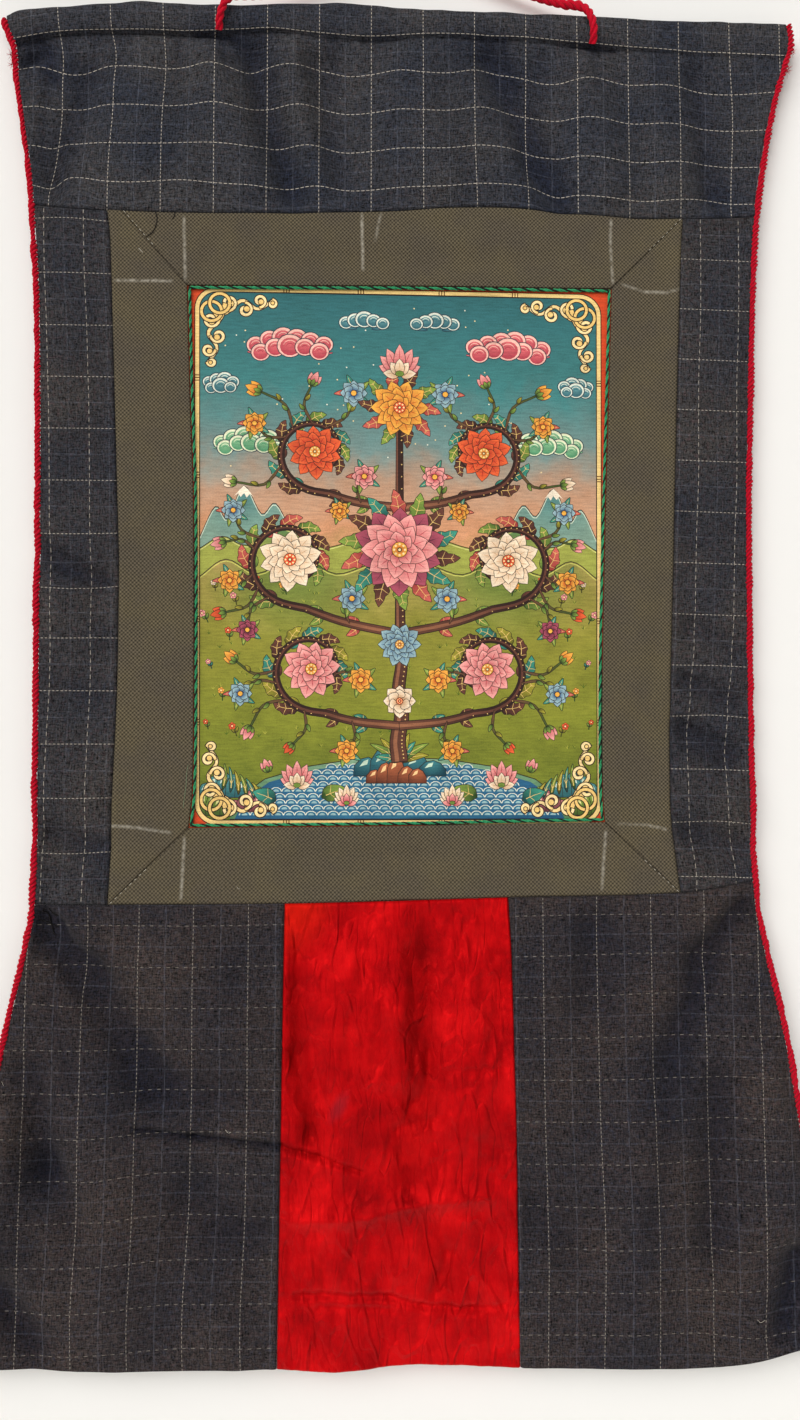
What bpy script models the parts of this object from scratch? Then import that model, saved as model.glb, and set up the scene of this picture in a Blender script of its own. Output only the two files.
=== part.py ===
"""Thangka scroll painting: a painted canvas in a mitred olive mount, set in panels of check suiting with a
red satin panel below, a sewn heading along the top, twisted red cords down both sides and a red cord to
hang it by.

The scroll hangs in the XZ plane. The origin is the middle of its top edge, +Z is up, the painted face looks
along -Y and the wall is on the +Y side. Sizes and tables are in millimetres and the model is in metres.
"""
import math
from collections import namedtuple

import bmesh
import bpy

MM = 0.001

# ---------------------------------------------------------------- driving dimensions, in millimetres
CLOTH = 1.5             # thickness of a hanging sheet
SEAM = 0.35             # gap between two sheets that are sewn edge to edge
MITRE = 1.4             # a mitre runs at about 45 degrees, so its gap along an axis is this much wider
HEADING_DEPTH = 9.0     # front to back of the padded heading
CANVAS_MARGIN = 6.0     # how far the canvas runs in behind the mount
CANVAS_SET_BACK = 2.0   # from the middle of the mount's cloth to the middle of the canvas
EDGE_CORD = 4.0         # diameter of the red cords down the sides
PAINTING_CORD = 1.9     # diameter of the green cord round the painting
HANGING_CORD = 4.7      # diameter of the cord the scroll hangs by
CLEAR = 0.5             # from the green cord to the canvas and to the edge of the mount
EDGE_CLEAR = 0.6        # the same for the edge cords, whose straight steps cut the curves a little
HEM_LIFT = 8.0          # how far the hem stands forward of the top edge
WAIST = -510.0          # height of the seam below the mount, where the hem's lift starts
HEM = -765.0            # mean height of the hem

# ---------------------------------------------------------------- outlines
Side = namedtuple("Side", "z left right")
Line = namedtuple("Line", "x z")
Fold = namedtuple("Fold", "x0 z0 x1 z1 rise half_width")
Route = namedtuple("Route", "x y z")

# Centre lines of the cords down the two sides: narrow at the waist and flared below it.
SIDES = [
    Side(0, -226.5, 230.5), Side(-15, -225.5, 232.0), Side(-28, -220.7, 228.5), Side(-48, -218.2, 222.6),
    Side(-75, -214.2, 217.0), Side(-105, -210.2, 212.2), Side(-130, -208.2, 209.2), Side(-170, -205.2, 206.8),
    Side(-230, -203.4, 204.5), Side(-290, -202.4, 202.4), Side(-400, -201.4, 201.4), Side(-495, -200.6, 201.6),
    Side(-522, -202.0, 203.8), Side(-548, -206.0, 208.4), Side(-570, -210.8, 213.2), Side(-592, -215.0, 217.4),
    Side(-620, -220.6, 221.4), Side(-660, -228.4, 227.0), Side(-710, -237.2, 235.0), Side(-765, -246.4, 243.6)]

# Where the heading's top edge, its stitching and the seams across the scroll run.
TOP_EDGE = [
    Line(-226, -12.0), Line(-217, -8.0), Line(-195, -5.5), Line(-166, -2.3), Line(-150, -0.8),
    Line(-106, -1.6), Line(-57, 0.8), Line(-28, 1.8), Line(0, 0.0), Line(60, -0.8), Line(113, -1.8),
    Line(178, -2.8), Line(230, -2.6)]
HEADING_SEAM = [
    Line(-226, -25.0), Line(-195, -19.0), Line(-160, -17.0), Line(-114, -16.6), Line(-79, -13.2),
    Line(-50, -15.2), Line(-16, -16.8), Line(30, -13.8), Line(74, -14.4), Line(113, -17.3),
    Line(166, -20.0), Line(230, -21.6)]
UPPER_SEAM = [
    Line(-206, -121.4), Line(-166, -124.0), Line(-105, -124.4), Line(-56, -123.4), Line(0, -121.0),
    Line(59, -117.2), Line(106, -119.8), Line(141, -122.0), Line(210, -119.4)]
LOWER_SEAM = [
    Line(-201, -517.0), Line(-62, -516.8), Line(62, -513.8), Line(160, -511.6), Line(202, -505.2)]
HEM_LINE = [
    Line(-247, -757.4), Line(-210, -759.4), Line(-130, -762.0), Line(-65, -762.8), Line(-31, -765.2),
    Line(1, -762.4), Line(34, -763.0), Line(66, -764.8), Line(153, -766.4), Line(190, -764.8),
    Line(218, -759.0), Line(244, -752.6)]
MOUNT_OUTSIDE = [
    Side(-122, -166.2, 166.4), Side(-140, -164.2, 165.4), Side(-194, -162.0, 163.0),
    Side(-280, -158.6, 159.6), Side(-325, -157.0, 158.0), Side(-393, -156.8, 155.4),
    Side(-460, -158.8, 154.0), Side(-488, -159.2, 156.4), Side(-515, -160.2, 159.6)]
OPENING_SIDES = [
    Side(-166, -120.3, 124.0), Side(-233, -118.0, 121.5), Side(-291, -115.6, 119.2),
    Side(-392, -114.4, 116.0), Side(-454, -114.6, 115.6), Side(-474, -116.4, 116.8)]
OPENING_TOP = [Line(-121, -167.0), Line(-56, -166.3), Line(0, -165.3), Line(59, -164.7), Line(124, -164.1)]
OPENING_FOOT = [Line(-117, -474.9), Line(-54, -474.5), Line(0, -474.0), Line(57, -473.0), Line(117, -472.0)]
SATIN_SIDES = [
    Side(-514, -62.8, 61.7), Side(-548, -63.4, 63.5), Side(-610, -64.0, 64.8), Side(-650, -64.3, 65.4),
    Side(-706, -64.8, 65.6), Side(-765, -65.2, 66.0)]

# Main folds: each is a soft ridge (rise above zero, towards the viewer) or trough along a straight line.
FOLDS = [
    # flutes that fall from the heading
    Fold(-178, -48, -195, -109, -2.2, 10), Fold(-142, -34, -150, -108, 1.8, 15),
    Fold(-110, -34, -84, -108, 2.2, 12), Fold(-86, -26, -60, -111, -3.2, 10),
    Fold(-64, -34, -46, -104, 1.6, 10), Fold(-45, -34, -33, -101, -1.8, 9),
    Fold(12, -34, 24, -108, 2.2, 17), Fold(54, -26, 94, -112, -3.2, 10),
    Fold(84, -30, 79, -89, -1.4, 8), Fold(112, -36, 126, -108, 2.2, 14),
    Fold(150, -36, 160, -108, 1.6, 13), Fold(176, -34, 188, -108, -2.2, 10),
    # short puckers across the side strips
    Fold(-196, -321, -168, -336, -2.4, 8), Fold(-194, -352, -170, -368, 1.8, 9),
    Fold(-193, -477, -164, -486, -2.2, 8), Fold(-194, -448, -168, -456, 1.4, 10),
    Fold(170, -362, 194, -374, -1.6, 8), Fold(164, -391, 192, -404, -2.2, 7),
    Fold(163, -419, 190, -434, -2.6, 8), Fold(164, -450, 192, -460, 1.6, 10),
    Fold(163, -478, 196, -487, -2.2, 8),
    # the left lower panel: a long drape line from the pucker at the waist
    Fold(-196, -526, -170, -556, -3.4, 9), Fold(-170, -556, -134, -616, -3.0, 13),
    Fold(-134, -616, -80, -622, -1.8, 14), Fold(-199, -607, -190, -658, -2.6, 10),
    Fold(-190, -658, -172, -688, -2.2, 11), Fold(-212, -640, -214, -700, 2.2, 11),
    Fold(-214, -722, -194, -750, -3.0, 11), Fold(-160, -640, -152, -740, 2.4, 18),
    Fold(-126, -548, -92, -580, 2.2, 18), Fold(-110, -676, -76, -696, -1.8, 16),
    Fold(-100, -726, -86, -752, 1.6, 14),
    # the right lower panel
    Fold(195, -523, 172, -549, -2.6, 9), Fold(172, -549, 153, -607, -2.6, 12),
    Fold(182, -620, 175, -703, -2.8, 13), Fold(108, -530, 105, -571, -2.0, 11),
    Fold(76, -684, 98, -706, -1.8, 13), Fold(136, -640, 128, -740, 2.4, 19),
    Fold(206, -606, 214, -690, 2.4, 13), Fold(218, -712, 210, -748, -2.4, 9),
    # the satin panel
    Fold(-56, -540, -56, -600, -1.6, 7), Fold(-56, -600, -48, -644, -1.6, 7),
    Fold(-26, -560, -22, -640, 1.6, 14), Fold(8, -543, 10, -626, -2.2, 9),
    Fold(10, -626, 5, -668, -1.8, 9), Fold(38, -560, 40, -640, 1.6, 11),
    Fold(-48, -686, 52, -674, 1.6, 7), Fold(20, -690, 24, -724, -1.6, 8),
    # slack in the mount's strips
    Fold(-84, -152, 88, -149, -1.6, 9), Fold(-54, -494, 10, -494, -1.6, 9),
    Fold(82, -496, 110, -496, -1.4, 9), Fold(-150, -325, -137, -359, -1.2, 10),
    Fold(140, -330, 134, -400, 1.2, 11)]

# The hanging cord: out of its left hole, up over the heading, to its highest point and down to the other.
# The highest point is a round bend of two diameters, as over a nail.
HANGING_ROUTE = [
    Route(-103.0, -3.4, -18.0), Route(-102.6, -6.3, -13.8), Route(-101.0, -8.0, -8.4),
    Route(-98.4, -7.6, -3.0), Route(-94.2, -5.8, 0.8), Route(-88.0, -3.6, 2.8), Route(-79.0, -1.5, 4.9),
    Route(-66.0, 0.0, 9.4), Route(-46.0, 1.0, 17.0), Route(-26.0, 1.8, 24.6), Route(-8.0, 2.2, 31.9),
    Route(0.5, 2.2, 35.6), Route(8.0, 2.2, 37.0), Route(15.4, 2.2, 35.6), Route(24.0, 2.2, 32.0),
    Route(42.0, 2.0, 24.6), Route(62.0, 1.2, 16.8), Route(82.0, -0.4, 9.0), Route(90.0, -1.8, 5.8),
    Route(96.0, -2.8, 3.8), Route(100.4, -3.6, 3.0), Route(104.8, -4.8, 1.8), Route(108.8, -6.6, -1.2),
    Route(111.4, -7.9, -5.8), Route(112.8, -8.2, -10.8), Route(113.3, -7.0, -15.4),
    Route(113.4, -3.6, -20.2)]
KNOT_BUMPS = (99.0, 104.6)      # where across the scroll the two turns of the cord's half hitch swell it
KNOT_SWELL = 0.24               # how much wider the cord is there
KNOT_BUMP_LENGTH = 2.4
STRANDS = 3                     # of the hanging cord
STRAND_RELIEF = 0.14            # how far the grooves between them go in, as a share of the radius
LAY_LENGTH = 15.0               # of cord for each full turn of its strands

# ---------------------------------------------------------------- counts of the sheets' cells
HEADING_STEPS = (0.0, 0.06, 0.22, 0.5, 0.78, 0.94, 1.0)     # rows of the heading, from edge to stitching
HEADING_SWELL = 0.5                                          # where across it the heading is deepest
TOP_COLUMNS = 40
TOP_ROWS = 7
SIDE_COLUMNS = 4
SIDE_ROWS = 32
LOWER_COLUMNS = 13
LOWER_ROWS = 20
SATIN_COLUMNS = 12
SATIN_ROWS = 20
MOUNT_ACROSS = 4
MOUNT_ALONG = 22
CANVAS_COLUMNS = 10
CANVAS_ROWS = 13
EDGE_CORD_POINTS = 60
HANGING_STEPS_PER_TURN = 8
STRAND_SIDES = 3                # of the hanging cord's section, for each strand
PAINTING_CORD_STEPS = 12      # points along each side of the opening
CORNER_ROUND = 3.0            # radius of the green cord's corners


# ---------------------------------------------------------------- smooth lines
def smooth(rows, key, value):
    """A smooth function through a table's rows: cubic between neighbours, straight beyond the ends."""
    points = sorted((getattr(row, key), getattr(row, value)) for row in rows)
    count = len(points)

    def slope(i):
        low, high = max(i - 1, 0), min(i + 1, count - 1)
        return (points[high][1] - points[low][1]) / (points[high][0] - points[low][0])

    def at(t):
        if t <= points[0][0]:
            return points[0][1] + (t - points[0][0]) * slope(0)
        if t >= points[-1][0]:
            return points[-1][1] + (t - points[-1][0]) * slope(count - 1)
        i = max(k for k in range(count - 1) if points[k][0] <= t)
        (t0, v0), (t1, v1) = points[i], points[i + 1]
        span = t1 - t0
        s = (t - t0) / span
        return (v0 * (1 + 2 * s) * (1 - s) ** 2 + v1 * s * s * (3 - 2 * s)
                + span * (slope(i) * s * (1 - s) ** 2 - slope(i + 1) * s * s * (1 - s)))
    return at


def shifted(line, step):
    """The same line, moved by a step."""
    return lambda t: line(t) + step


def diagonal(t0, v0, t1, v1):
    """A straight seam from one corner to another."""
    return lambda t: v0 + (v1 - v0) * (t - t0) / (t1 - t0)


cord_left = smooth(SIDES, "z", "left")
cord_right = smooth(SIDES, "z", "right")
top_edge = smooth(TOP_EDGE, "x", "z")
heading_seam = smooth(HEADING_SEAM, "x", "z")
upper_seam = smooth(UPPER_SEAM, "x", "z")
lower_seam = smooth(LOWER_SEAM, "x", "z")
hem_line = smooth(HEM_LINE, "x", "z")
mount_left = smooth(MOUNT_OUTSIDE, "z", "left")
mount_right = smooth(MOUNT_OUTSIDE, "z", "right")
open_left = smooth(OPENING_SIDES, "z", "left")
open_right = smooth(OPENING_SIDES, "z", "right")
open_top = smooth(OPENING_TOP, "x", "z")
open_foot = smooth(OPENING_FOOT, "x", "z")
satin_left = smooth(SATIN_SIDES, "z", "left")
satin_right = smooth(SATIN_SIDES, "z", "right")
cloth_left = shifted(cord_left, EDGE_CORD / 2 + EDGE_CLEAR)
cloth_right = shifted(cord_right, -EDGE_CORD / 2 - EDGE_CLEAR)


# ---------------------------------------------------------------- how the cloth hangs
def fold_height(fold, x, z):
    """How far one fold lifts the cloth at a place: round across its line, faded beyond its ends."""
    run_x, run_z = fold.x1 - fold.x0, fold.z1 - fold.z0
    along = ((x - fold.x0) * run_x + (z - fold.z0) * run_z) / (run_x ** 2 + run_z ** 2)
    along = min(max(along, 0.0), 1.0)
    away = math.hypot(x - fold.x0 - along * run_x, z - fold.z0 - along * run_z)
    return fold.rise * math.exp(-(away / fold.half_width) ** 2)


def depth(x, z):
    """The y of the middle of the cloth: the folds, a slow wave, and the lift below the waist."""
    folds = sum(fold_height(fold, x, z) for fold in FOLDS)
    drop = min(max((WAIST - z) / (WAIST - HEM), 0.0), 1.1)
    wave = 0.9 * math.sin(x / 70.0 + z / 160.0) * min(1.0, -z / 60.0 if z < 0 else 0.0)
    return -(folds + HEM_LIFT * drop ** 1.4) + wave


# ---------------------------------------------------------------- tools
def make_material(name, colour, roughness):
    material = bpy.data.materials.new(name)
    material.use_nodes = True
    shader = material.node_tree.nodes["Principled BSDF"]
    shader.inputs["Base Color"].default_value = (*colour, 1.0)
    shader.inputs["Roughness"].default_value = roughness
    shader.inputs["Metallic"].default_value = 0.0
    return material


def rows_between(upper, lower, count):
    """Lines that divide the cloth between two others into equal rows, both ends included."""
    return [lambda x, f=i / count: upper(x) + f * (lower(x) - upper(x)) for i in range(count + 1)]


def sheet(name, left, right, rows, columns, material, set_back=0.0, swell=None):
    """A cloth panel: a grid whose rows follow the given lines from its top to its foot and whose ends follow
    left and right, set at the depth the cloth hangs at and given its thickness. Swell holds a share of the
    heading's depth for each row."""
    row_count = len(rows) - 1
    grid = bmesh.new()
    bmesh.ops.create_grid(grid, x_segments=columns, y_segments=row_count, size=0.5)
    mesh = bpy.data.meshes.new(name)
    shares = []
    for vertex in grid.verts:
        u = vertex.co.x + 0.5
        row = round((0.5 - vertex.co.y) * row_count)
        x, z = 0.0, rows[row](0.0)
        for _ in range(8):
            x = left(z) + u * (right(z) - left(z))
            z = rows[row](x)
        vertex.co = (x * MM, (depth(x, z) + set_back) * MM, z * MM)
        shares.append(swell[row] if swell else 1.0)
    grid.to_mesh(mesh)
    grid.free()
    mesh.shade_smooth()
    panel = add(name, mesh, material)
    solid = panel.modifiers.new("thickness", "SOLIDIFY")
    solid.thickness = CLOTH * MM
    solid.offset = 0.0
    if swell:
        group = panel.vertex_groups.new(name="heading")
        for index, share in enumerate(shares):
            group.add([index], share, "REPLACE")
        solid.thickness = HEADING_DEPTH * MM
        solid.vertex_group = group.name
    return panel


def add(name, data, material):
    thing = bpy.data.objects.new(name, data)
    data.materials.append(material)
    scroll.objects.link(thing)
    return thing


def cord(name, points, diameter, material, closed=False):
    """A cord as a round tube through points in millimetres."""
    curve = bpy.data.curves.new(name, "CURVE")
    curve.dimensions = "3D"
    curve.bevel_depth = diameter / 2 * MM
    curve.bevel_resolution = 2
    curve.use_fill_caps = not closed
    spline = curve.splines.new("POLY")
    spline.points.add(len(points) - 1)
    for point, place in zip(spline.points, points):
        point.co = (place[0] * MM, place[1] * MM, place[2] * MM, 1.0)
    spline.use_cyclic_u = closed
    return add(name, curve, material)


def smooth_route(route, count):
    """Evenly spaced points on a smooth curve through a hand-laid route."""
    Knot = namedtuple("Knot", "t x y z")
    knots, walked = [], 0.0
    for i, place in enumerate(route):
        if i:
            walked += math.dist(place, route[i - 1])
        knots.append(Knot(walked, *place))
    curves = [smooth(knots, "t", axis) for axis in "xyz"]
    return [tuple(curve(walked * i / (count - 1)) for curve in curves) for i in range(count)]


# ---------------------------------------------------------------- the pieces
def top_panel(material):
    """The band across the top. Its upper edge is turned over and sewn down as a padded heading."""
    rows = [lambda x, f=f: top_edge(x) + f * (heading_seam(x) - top_edge(x)) for f in HEADING_STEPS]
    rows += rows_between(heading_seam, shifted(upper_seam, SEAM / 2), TOP_ROWS)[1:]
    thin = CLOTH / HEADING_DEPTH
    swell = []
    for step in HEADING_STEPS:
        across = (step - HEADING_SWELL) / HEADING_SWELL
        swell.append(max(thin, math.sqrt(max(0.0, 1.0 - across ** 2))))
    swell += [thin] * TOP_ROWS
    sheet("top_panel", cloth_left, cloth_right, rows, TOP_COLUMNS, material, swell=swell)


def side_panels(material):
    """The strips of suiting beside the mount."""
    rows = rows_between(shifted(upper_seam, -SEAM / 2), shifted(lower_seam, SEAM / 2), SIDE_ROWS)
    sheet("side_panel_left", cloth_left, shifted(mount_left, -SEAM / 2), rows, SIDE_COLUMNS, material)
    sheet("side_panel_right", shifted(mount_right, SEAM / 2), cloth_right, rows, SIDE_COLUMNS, material)


def lower_panels(material, satin):
    """The flared panels below the mount and the satin panel between them."""
    rows = rows_between(shifted(lower_seam, -SEAM / 2), hem_line, LOWER_ROWS)
    sheet("lower_panel_left", cloth_left, shifted(satin_left, -SEAM / 2), rows, LOWER_COLUMNS, material)
    sheet("lower_panel_right", shifted(satin_right, SEAM / 2), cloth_right, rows, LOWER_COLUMNS, material)
    rows = rows_between(shifted(lower_seam, -SEAM / 2), hem_line, SATIN_ROWS)
    sheet("centre_panel", shifted(satin_left, SEAM / 2), shifted(satin_right, -SEAM / 2), rows,
          SATIN_COLUMNS, satin)


def corner(side, line):
    """Where a line down one side crosses a line across the scroll."""
    z = line(0.0)
    for _ in range(8):
        x = side(z)
        z = line(x)
    return x, z


def mount(material):
    """Four strips round the painting, sewn together along the mitres."""
    outer = {(v, h): corner(side, line)
             for v, line in (("top", upper_seam), ("foot", lower_seam))
             for h, side in (("left", mount_left), ("right", mount_right))}
    inner = {(v, h): corner(side, line)
             for v, line in (("top", open_top), ("foot", open_foot))
             for h, side in (("left", open_left), ("right", open_right))}
    gap = SEAM / 2 * MITRE

    def mitre_x(v, h, step):
        (x0, z0), (x1, z1) = outer[v, h], inner[v, h]
        return shifted(diagonal(z0, x0, z1, x1), step)

    def mitre_z(v, h, step):
        (x0, z0), (x1, z1) = outer[v, h], inner[v, h]
        return shifted(diagonal(x0, z0, x1, z1), step)

    rows = rows_between(shifted(upper_seam, -SEAM / 2), open_top, MOUNT_ACROSS)
    sheet("mount_top", mitre_x("top", "left", gap), mitre_x("top", "right", -gap), rows, MOUNT_ALONG, material)
    rows = rows_between(open_foot, shifted(lower_seam, SEAM / 2), MOUNT_ACROSS)
    sheet("mount_bottom", mitre_x("foot", "left", gap), mitre_x("foot", "right", -gap), rows, MOUNT_ALONG,
          material)
    rows = rows_between(mitre_z("top", "left", -gap), mitre_z("foot", "left", gap), MOUNT_ALONG)
    sheet("mount_left", shifted(mount_left, SEAM / 2), open_left, rows, MOUNT_ACROSS, material)
    rows = rows_between(mitre_z("top", "right", -gap), mitre_z("foot", "right", gap), MOUNT_ALONG)
    sheet("mount_right", open_right, shifted(mount_right, -SEAM / 2), rows, MOUNT_ACROSS, material)


def painting(material):
    """The canvas, a little larger than the opening it shows through."""
    rows = rows_between(shifted(open_top, CANVAS_MARGIN), shifted(open_foot, -CANVAS_MARGIN), CANVAS_ROWS)
    sheet("painting", shifted(open_left, -CANVAS_MARGIN), shifted(open_right, CANVAS_MARGIN), rows,
          CANVAS_COLUMNS, material, set_back=CANVAS_SET_BACK)


def painting_cord(material):
    """The thin cord round the painting, laid on the canvas against the mount's inner edge."""
    inset = PAINTING_CORD / 2 + CLEAR
    lift = CANVAS_SET_BACK - CLOTH / 2 - PAINTING_CORD / 2 - CLEAR
    left, right = shifted(open_left, inset), shifted(open_right, -inset)
    top, foot = shifted(open_top, -inset), shifted(open_foot, inset)
    top_left, top_right = corner(left, top), corner(right, top)
    foot_right, foot_left = corner(right, foot), corner(left, foot)
    steps = [i / PAINTING_CORD_STEPS for i in range(PAINTING_CORD_STEPS + 1)]

    def run(start, end, margin):
        """Even places from one value to another, a margin short of both."""
        sign = math.copysign(margin, end - start)
        return [start + sign + f * (end - start - 2 * sign) for f in steps]

    loop = [(x, top(x)) for x in run(top_left[0], top_right[0], CORNER_ROUND)]
    loop += [(right(z), z) for z in run(top_right[1], foot_right[1], CORNER_ROUND)]
    loop += [(x, foot(x)) for x in run(foot_right[0], foot_left[0], CORNER_ROUND)]
    loop += [(left(z), z) for z in run(foot_left[1], top_left[1], CORNER_ROUND)]
    cord("painting_cord", [(x, depth(x, z) + lift, z) for x, z in loop], PAINTING_CORD, material, closed=True)


def edge_cords(material):
    """The cords sewn along the two side edges, from the heading's ends to the hem."""
    for name, line, inward in (("edge_cord_left", cord_left, 1), ("edge_cord_right", cord_right, -1)):
        start = top_edge(line(0.0)) - 1.0
        end = hem_line(line(HEM))
        heights = [start + (end - start) * i / (EDGE_CORD_POINTS - 1) for i in range(EDGE_CORD_POINTS)]
        edge = inward * (EDGE_CORD / 2 + EDGE_CLEAR)
        cord(name, [(line(z), depth(line(z) + edge, z), z) for z in heights], EDGE_CORD, material)


def hanging_cord(material):
    """The cord that the scroll hangs by: its strands twisted along the route, with a half hitch at the right."""
    route_length = sum(math.dist(a, b) for a, b in zip(HANGING_ROUTE, HANGING_ROUTE[1:]))
    count = round(route_length / LAY_LENGTH * HANGING_STEPS_PER_TURN)
    points = smooth_route(HANGING_ROUTE, count)
    section = bpy.data.curves.new("cord_section", "CURVE")
    section.dimensions = "2D"
    outline = section.splines.new("POLY")
    sides = STRANDS * STRAND_SIDES
    outline.points.add(sides - 1)
    for i, point in enumerate(outline.points):
        angle = -math.tau * i / sides
        radius = HANGING_CORD / 2 * (1 - STRAND_RELIEF * (1 - math.cos(STRANDS * angle)) / 2)
        point.co = (radius * math.cos(angle) * MM, radius * math.sin(angle) * MM, 0.0, 1.0)
    outline.use_cyclic_u = True
    guide = bpy.data.objects.new("cord_section", section)
    guide.hide_render = True
    guide.display_type = "WIRE"
    guides.objects.link(guide)
    rope = cord("hanging_cord", points, HANGING_CORD, material)
    rope.data.bevel_mode = "OBJECT"
    rope.data.bevel_object = guide
    rope.data.twist_mode = "MINIMUM"
    for i, point in enumerate(rope.data.splines[0].points):
        point.tilt = math.tau * i / HANGING_STEPS_PER_TURN
        point.radius = 1.0 + KNOT_SWELL * sum(
            math.exp(-((points[i][0] - bump) / KNOT_BUMP_LENGTH) ** 2) for bump in KNOT_BUMPS)


scroll = bpy.data.collections.new("thangka_scroll")
guides = bpy.data.collections.new("guides")


def main():
    for thing in list(bpy.data.objects):
        bpy.data.objects.remove(thing)
    bpy.context.scene.collection.children.link(scroll)
    bpy.context.scene.collection.children.link(guides)
    suiting = make_material("check_suiting", (0.042, 0.036, 0.038), 0.9)
    satin = make_material("red_satin", (0.42, 0.003, 0.005), 0.4)
    canvas_mount = make_material("olive_mount_cloth", (0.093, 0.078, 0.053), 0.9)
    painted = make_material("painted_canvas", (0.16, 0.19, 0.11), 0.7)
    red_cord = make_material("red_twisted_cord", (0.48, 0.003, 0.02), 0.8)
    green_cord = make_material("green_twisted_cord", (0.01, 0.12, 0.05), 0.6)
    top_panel(suiting)
    side_panels(suiting)
    lower_panels(suiting, satin)
    mount(canvas_mount)
    painting(painted)
    painting_cord(green_cord)
    edge_cords(red_cord)
    hanging_cord(red_cord)


main()
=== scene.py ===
"""Looks of the thangka scroll painting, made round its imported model.

Check suiting panels, an olive mount with mitred corners, a painted canvas, a crinkled red satin panel,
twisted red cords down the sides and the cord that the scroll hangs by. Tables are in millimetres, in the
model's frame: the origin is the middle of the top edge, +Z is up, the painted face looks along -Y and the
wall is on the +Y side.
"""
import math
import random
from collections import namedtuple

import bmesh
import bpy
import numpy as np
from mathutils import Euler, Matrix, Vector, noise
from mathutils.geometry import delaunay_2d_cdt


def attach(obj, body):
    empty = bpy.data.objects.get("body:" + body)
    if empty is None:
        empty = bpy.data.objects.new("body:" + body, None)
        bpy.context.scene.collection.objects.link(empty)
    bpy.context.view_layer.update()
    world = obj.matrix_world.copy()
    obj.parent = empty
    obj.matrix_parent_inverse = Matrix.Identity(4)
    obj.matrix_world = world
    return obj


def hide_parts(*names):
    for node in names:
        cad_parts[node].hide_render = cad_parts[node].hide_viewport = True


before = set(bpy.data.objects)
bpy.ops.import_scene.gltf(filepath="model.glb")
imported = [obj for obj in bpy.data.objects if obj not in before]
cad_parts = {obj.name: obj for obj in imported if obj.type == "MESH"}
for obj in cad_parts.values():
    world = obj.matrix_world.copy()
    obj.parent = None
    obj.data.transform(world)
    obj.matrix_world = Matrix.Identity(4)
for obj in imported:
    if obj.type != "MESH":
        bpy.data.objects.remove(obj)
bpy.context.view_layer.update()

MM = 0.001

# ---------------------------------------------------------------- the photograph's camera
PHOTO_WIDTH = 800
PHOTO_HEIGHT = 1420
FOCAL_PIXELS = 1100.0               # focal length in the photograph's pixels
CAMERA_PLACE = (-24.7, -616.7, -443.6)
CAMERA_PITCH = math.radians(3.2)    # looking up
CAMERA_YAW = math.radians(2.4)      # turned to the right
SENSOR = 36.0

# ---------------------------------------------------------------- sizes shared with the part's source
CLOTH = 1.1             # thickness of a hanging sheet
THINNEST = 0.35         # and where its back is pressed to its front
SEAM = 0.06             # gap between two sheets that are sewn edge to edge
MITRE_START = 8.2       # the upper left mitre starts this far from the mount's corner
HEADING_DEPTH = 9.0
CANVAS_MARGIN = 6.0
CANVAS_SET_BACK = 2.0
EDGE_CORD = 4.0
PAINTING_CORD = 1.9
HANGING_CORD = 4.7
CLEAR = 0.5
EDGE_CLEAR = 0.45
CORD_BITE = 0.4         # how far a side cord closes over the cloth's edge
HEM_LIFT = 8.0
WAIST = -510.0
HEM = -765.0
SHARPER = 1.7           # how much more the folds stand out in the looks than in the solids
WALL_NEAR = 5.0         # from here the cloth meets the wall and gives way
WALL_GIVE = 2.2
HOLLOW_DEPTH = 3.6      # at this depth a fold's hollow has its full painted shade
CREASE_DEPTH = 1.7      # and a crease's
CREASED = 1.15          # how sharply a crease turns
SATIN_CREASED = 1.5

Side = namedtuple("Side", "z left right")
Line = namedtuple("Line", "x z")
Fold = namedtuple("Fold", "x0 z0 x1 z1 rise half_width")
Route = namedtuple("Route", "x y z")
Pull = namedtuple("Pull", "x z across along reach")
Mark = namedtuple("Mark", "x0 z0 x1 z1 strength")
Shade = namedtuple("Shade", "x z wide tall depth")
Lean = namedtuple("Lean", "z left right")
Thread = namedtuple("Thread", "sheet kind thick places")
Shape = namedtuple("Shape", "outline inner outer centre near far")


def table(kind, values):
    """A table whose rows are all of one kind."""
    return [kind(*row) for row in values]


SIDES = table(Side, (
    (0, -226.5, 230.5), (-15, -225.5, 232), (-28, -220.7, 228.5), (-48, -218.2, 222.6), (-75, -214.2, 217),
    (-105, -210.2, 212.2), (-130, -208.2, 209.2), (-170, -205.2, 206.8), (-230, -203.4, 204.5),
    (-290, -202.4, 202.4), (-400, -201.4, 201.4), (-495, -200.6, 201.6), (-522, -202, 203.8),
    (-548, -206, 208.4), (-570, -210.8, 213.2), (-592, -215, 217.4), (-620, -220.6, 221.4),
    (-660, -228.4, 227), (-710, -237.2, 235), (-765, -246.4, 243.6)))
TOP_EDGE = table(Line, (
    (-226, -12), (-217, -8), (-195, -5.5), (-166, -2.3), (-150, -0.8), (-106, -1.6), (-57, 0.8), (-28, 1.8),
    (0, 0), (60, -0.8), (113, -1.8), (178, -2.8), (230, -2.6)))
HEADING_SEAM = table(Line, (
    (-226, -25), (-195, -19), (-160, -17), (-114, -16.6), (-79, -13.2), (-50, -15.2), (-16, -16.8),
    (30, -13.8), (74, -14.4), (113, -17.3), (166, -20), (230, -21.6)))
UPPER_SEAM = table(Line, (
    (-206, -121.4), (-166, -124), (-105, -124.4), (-56, -123.4), (0, -121), (59, -117.2), (106, -119.8),
    (141, -122), (210, -119.4)))
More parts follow.
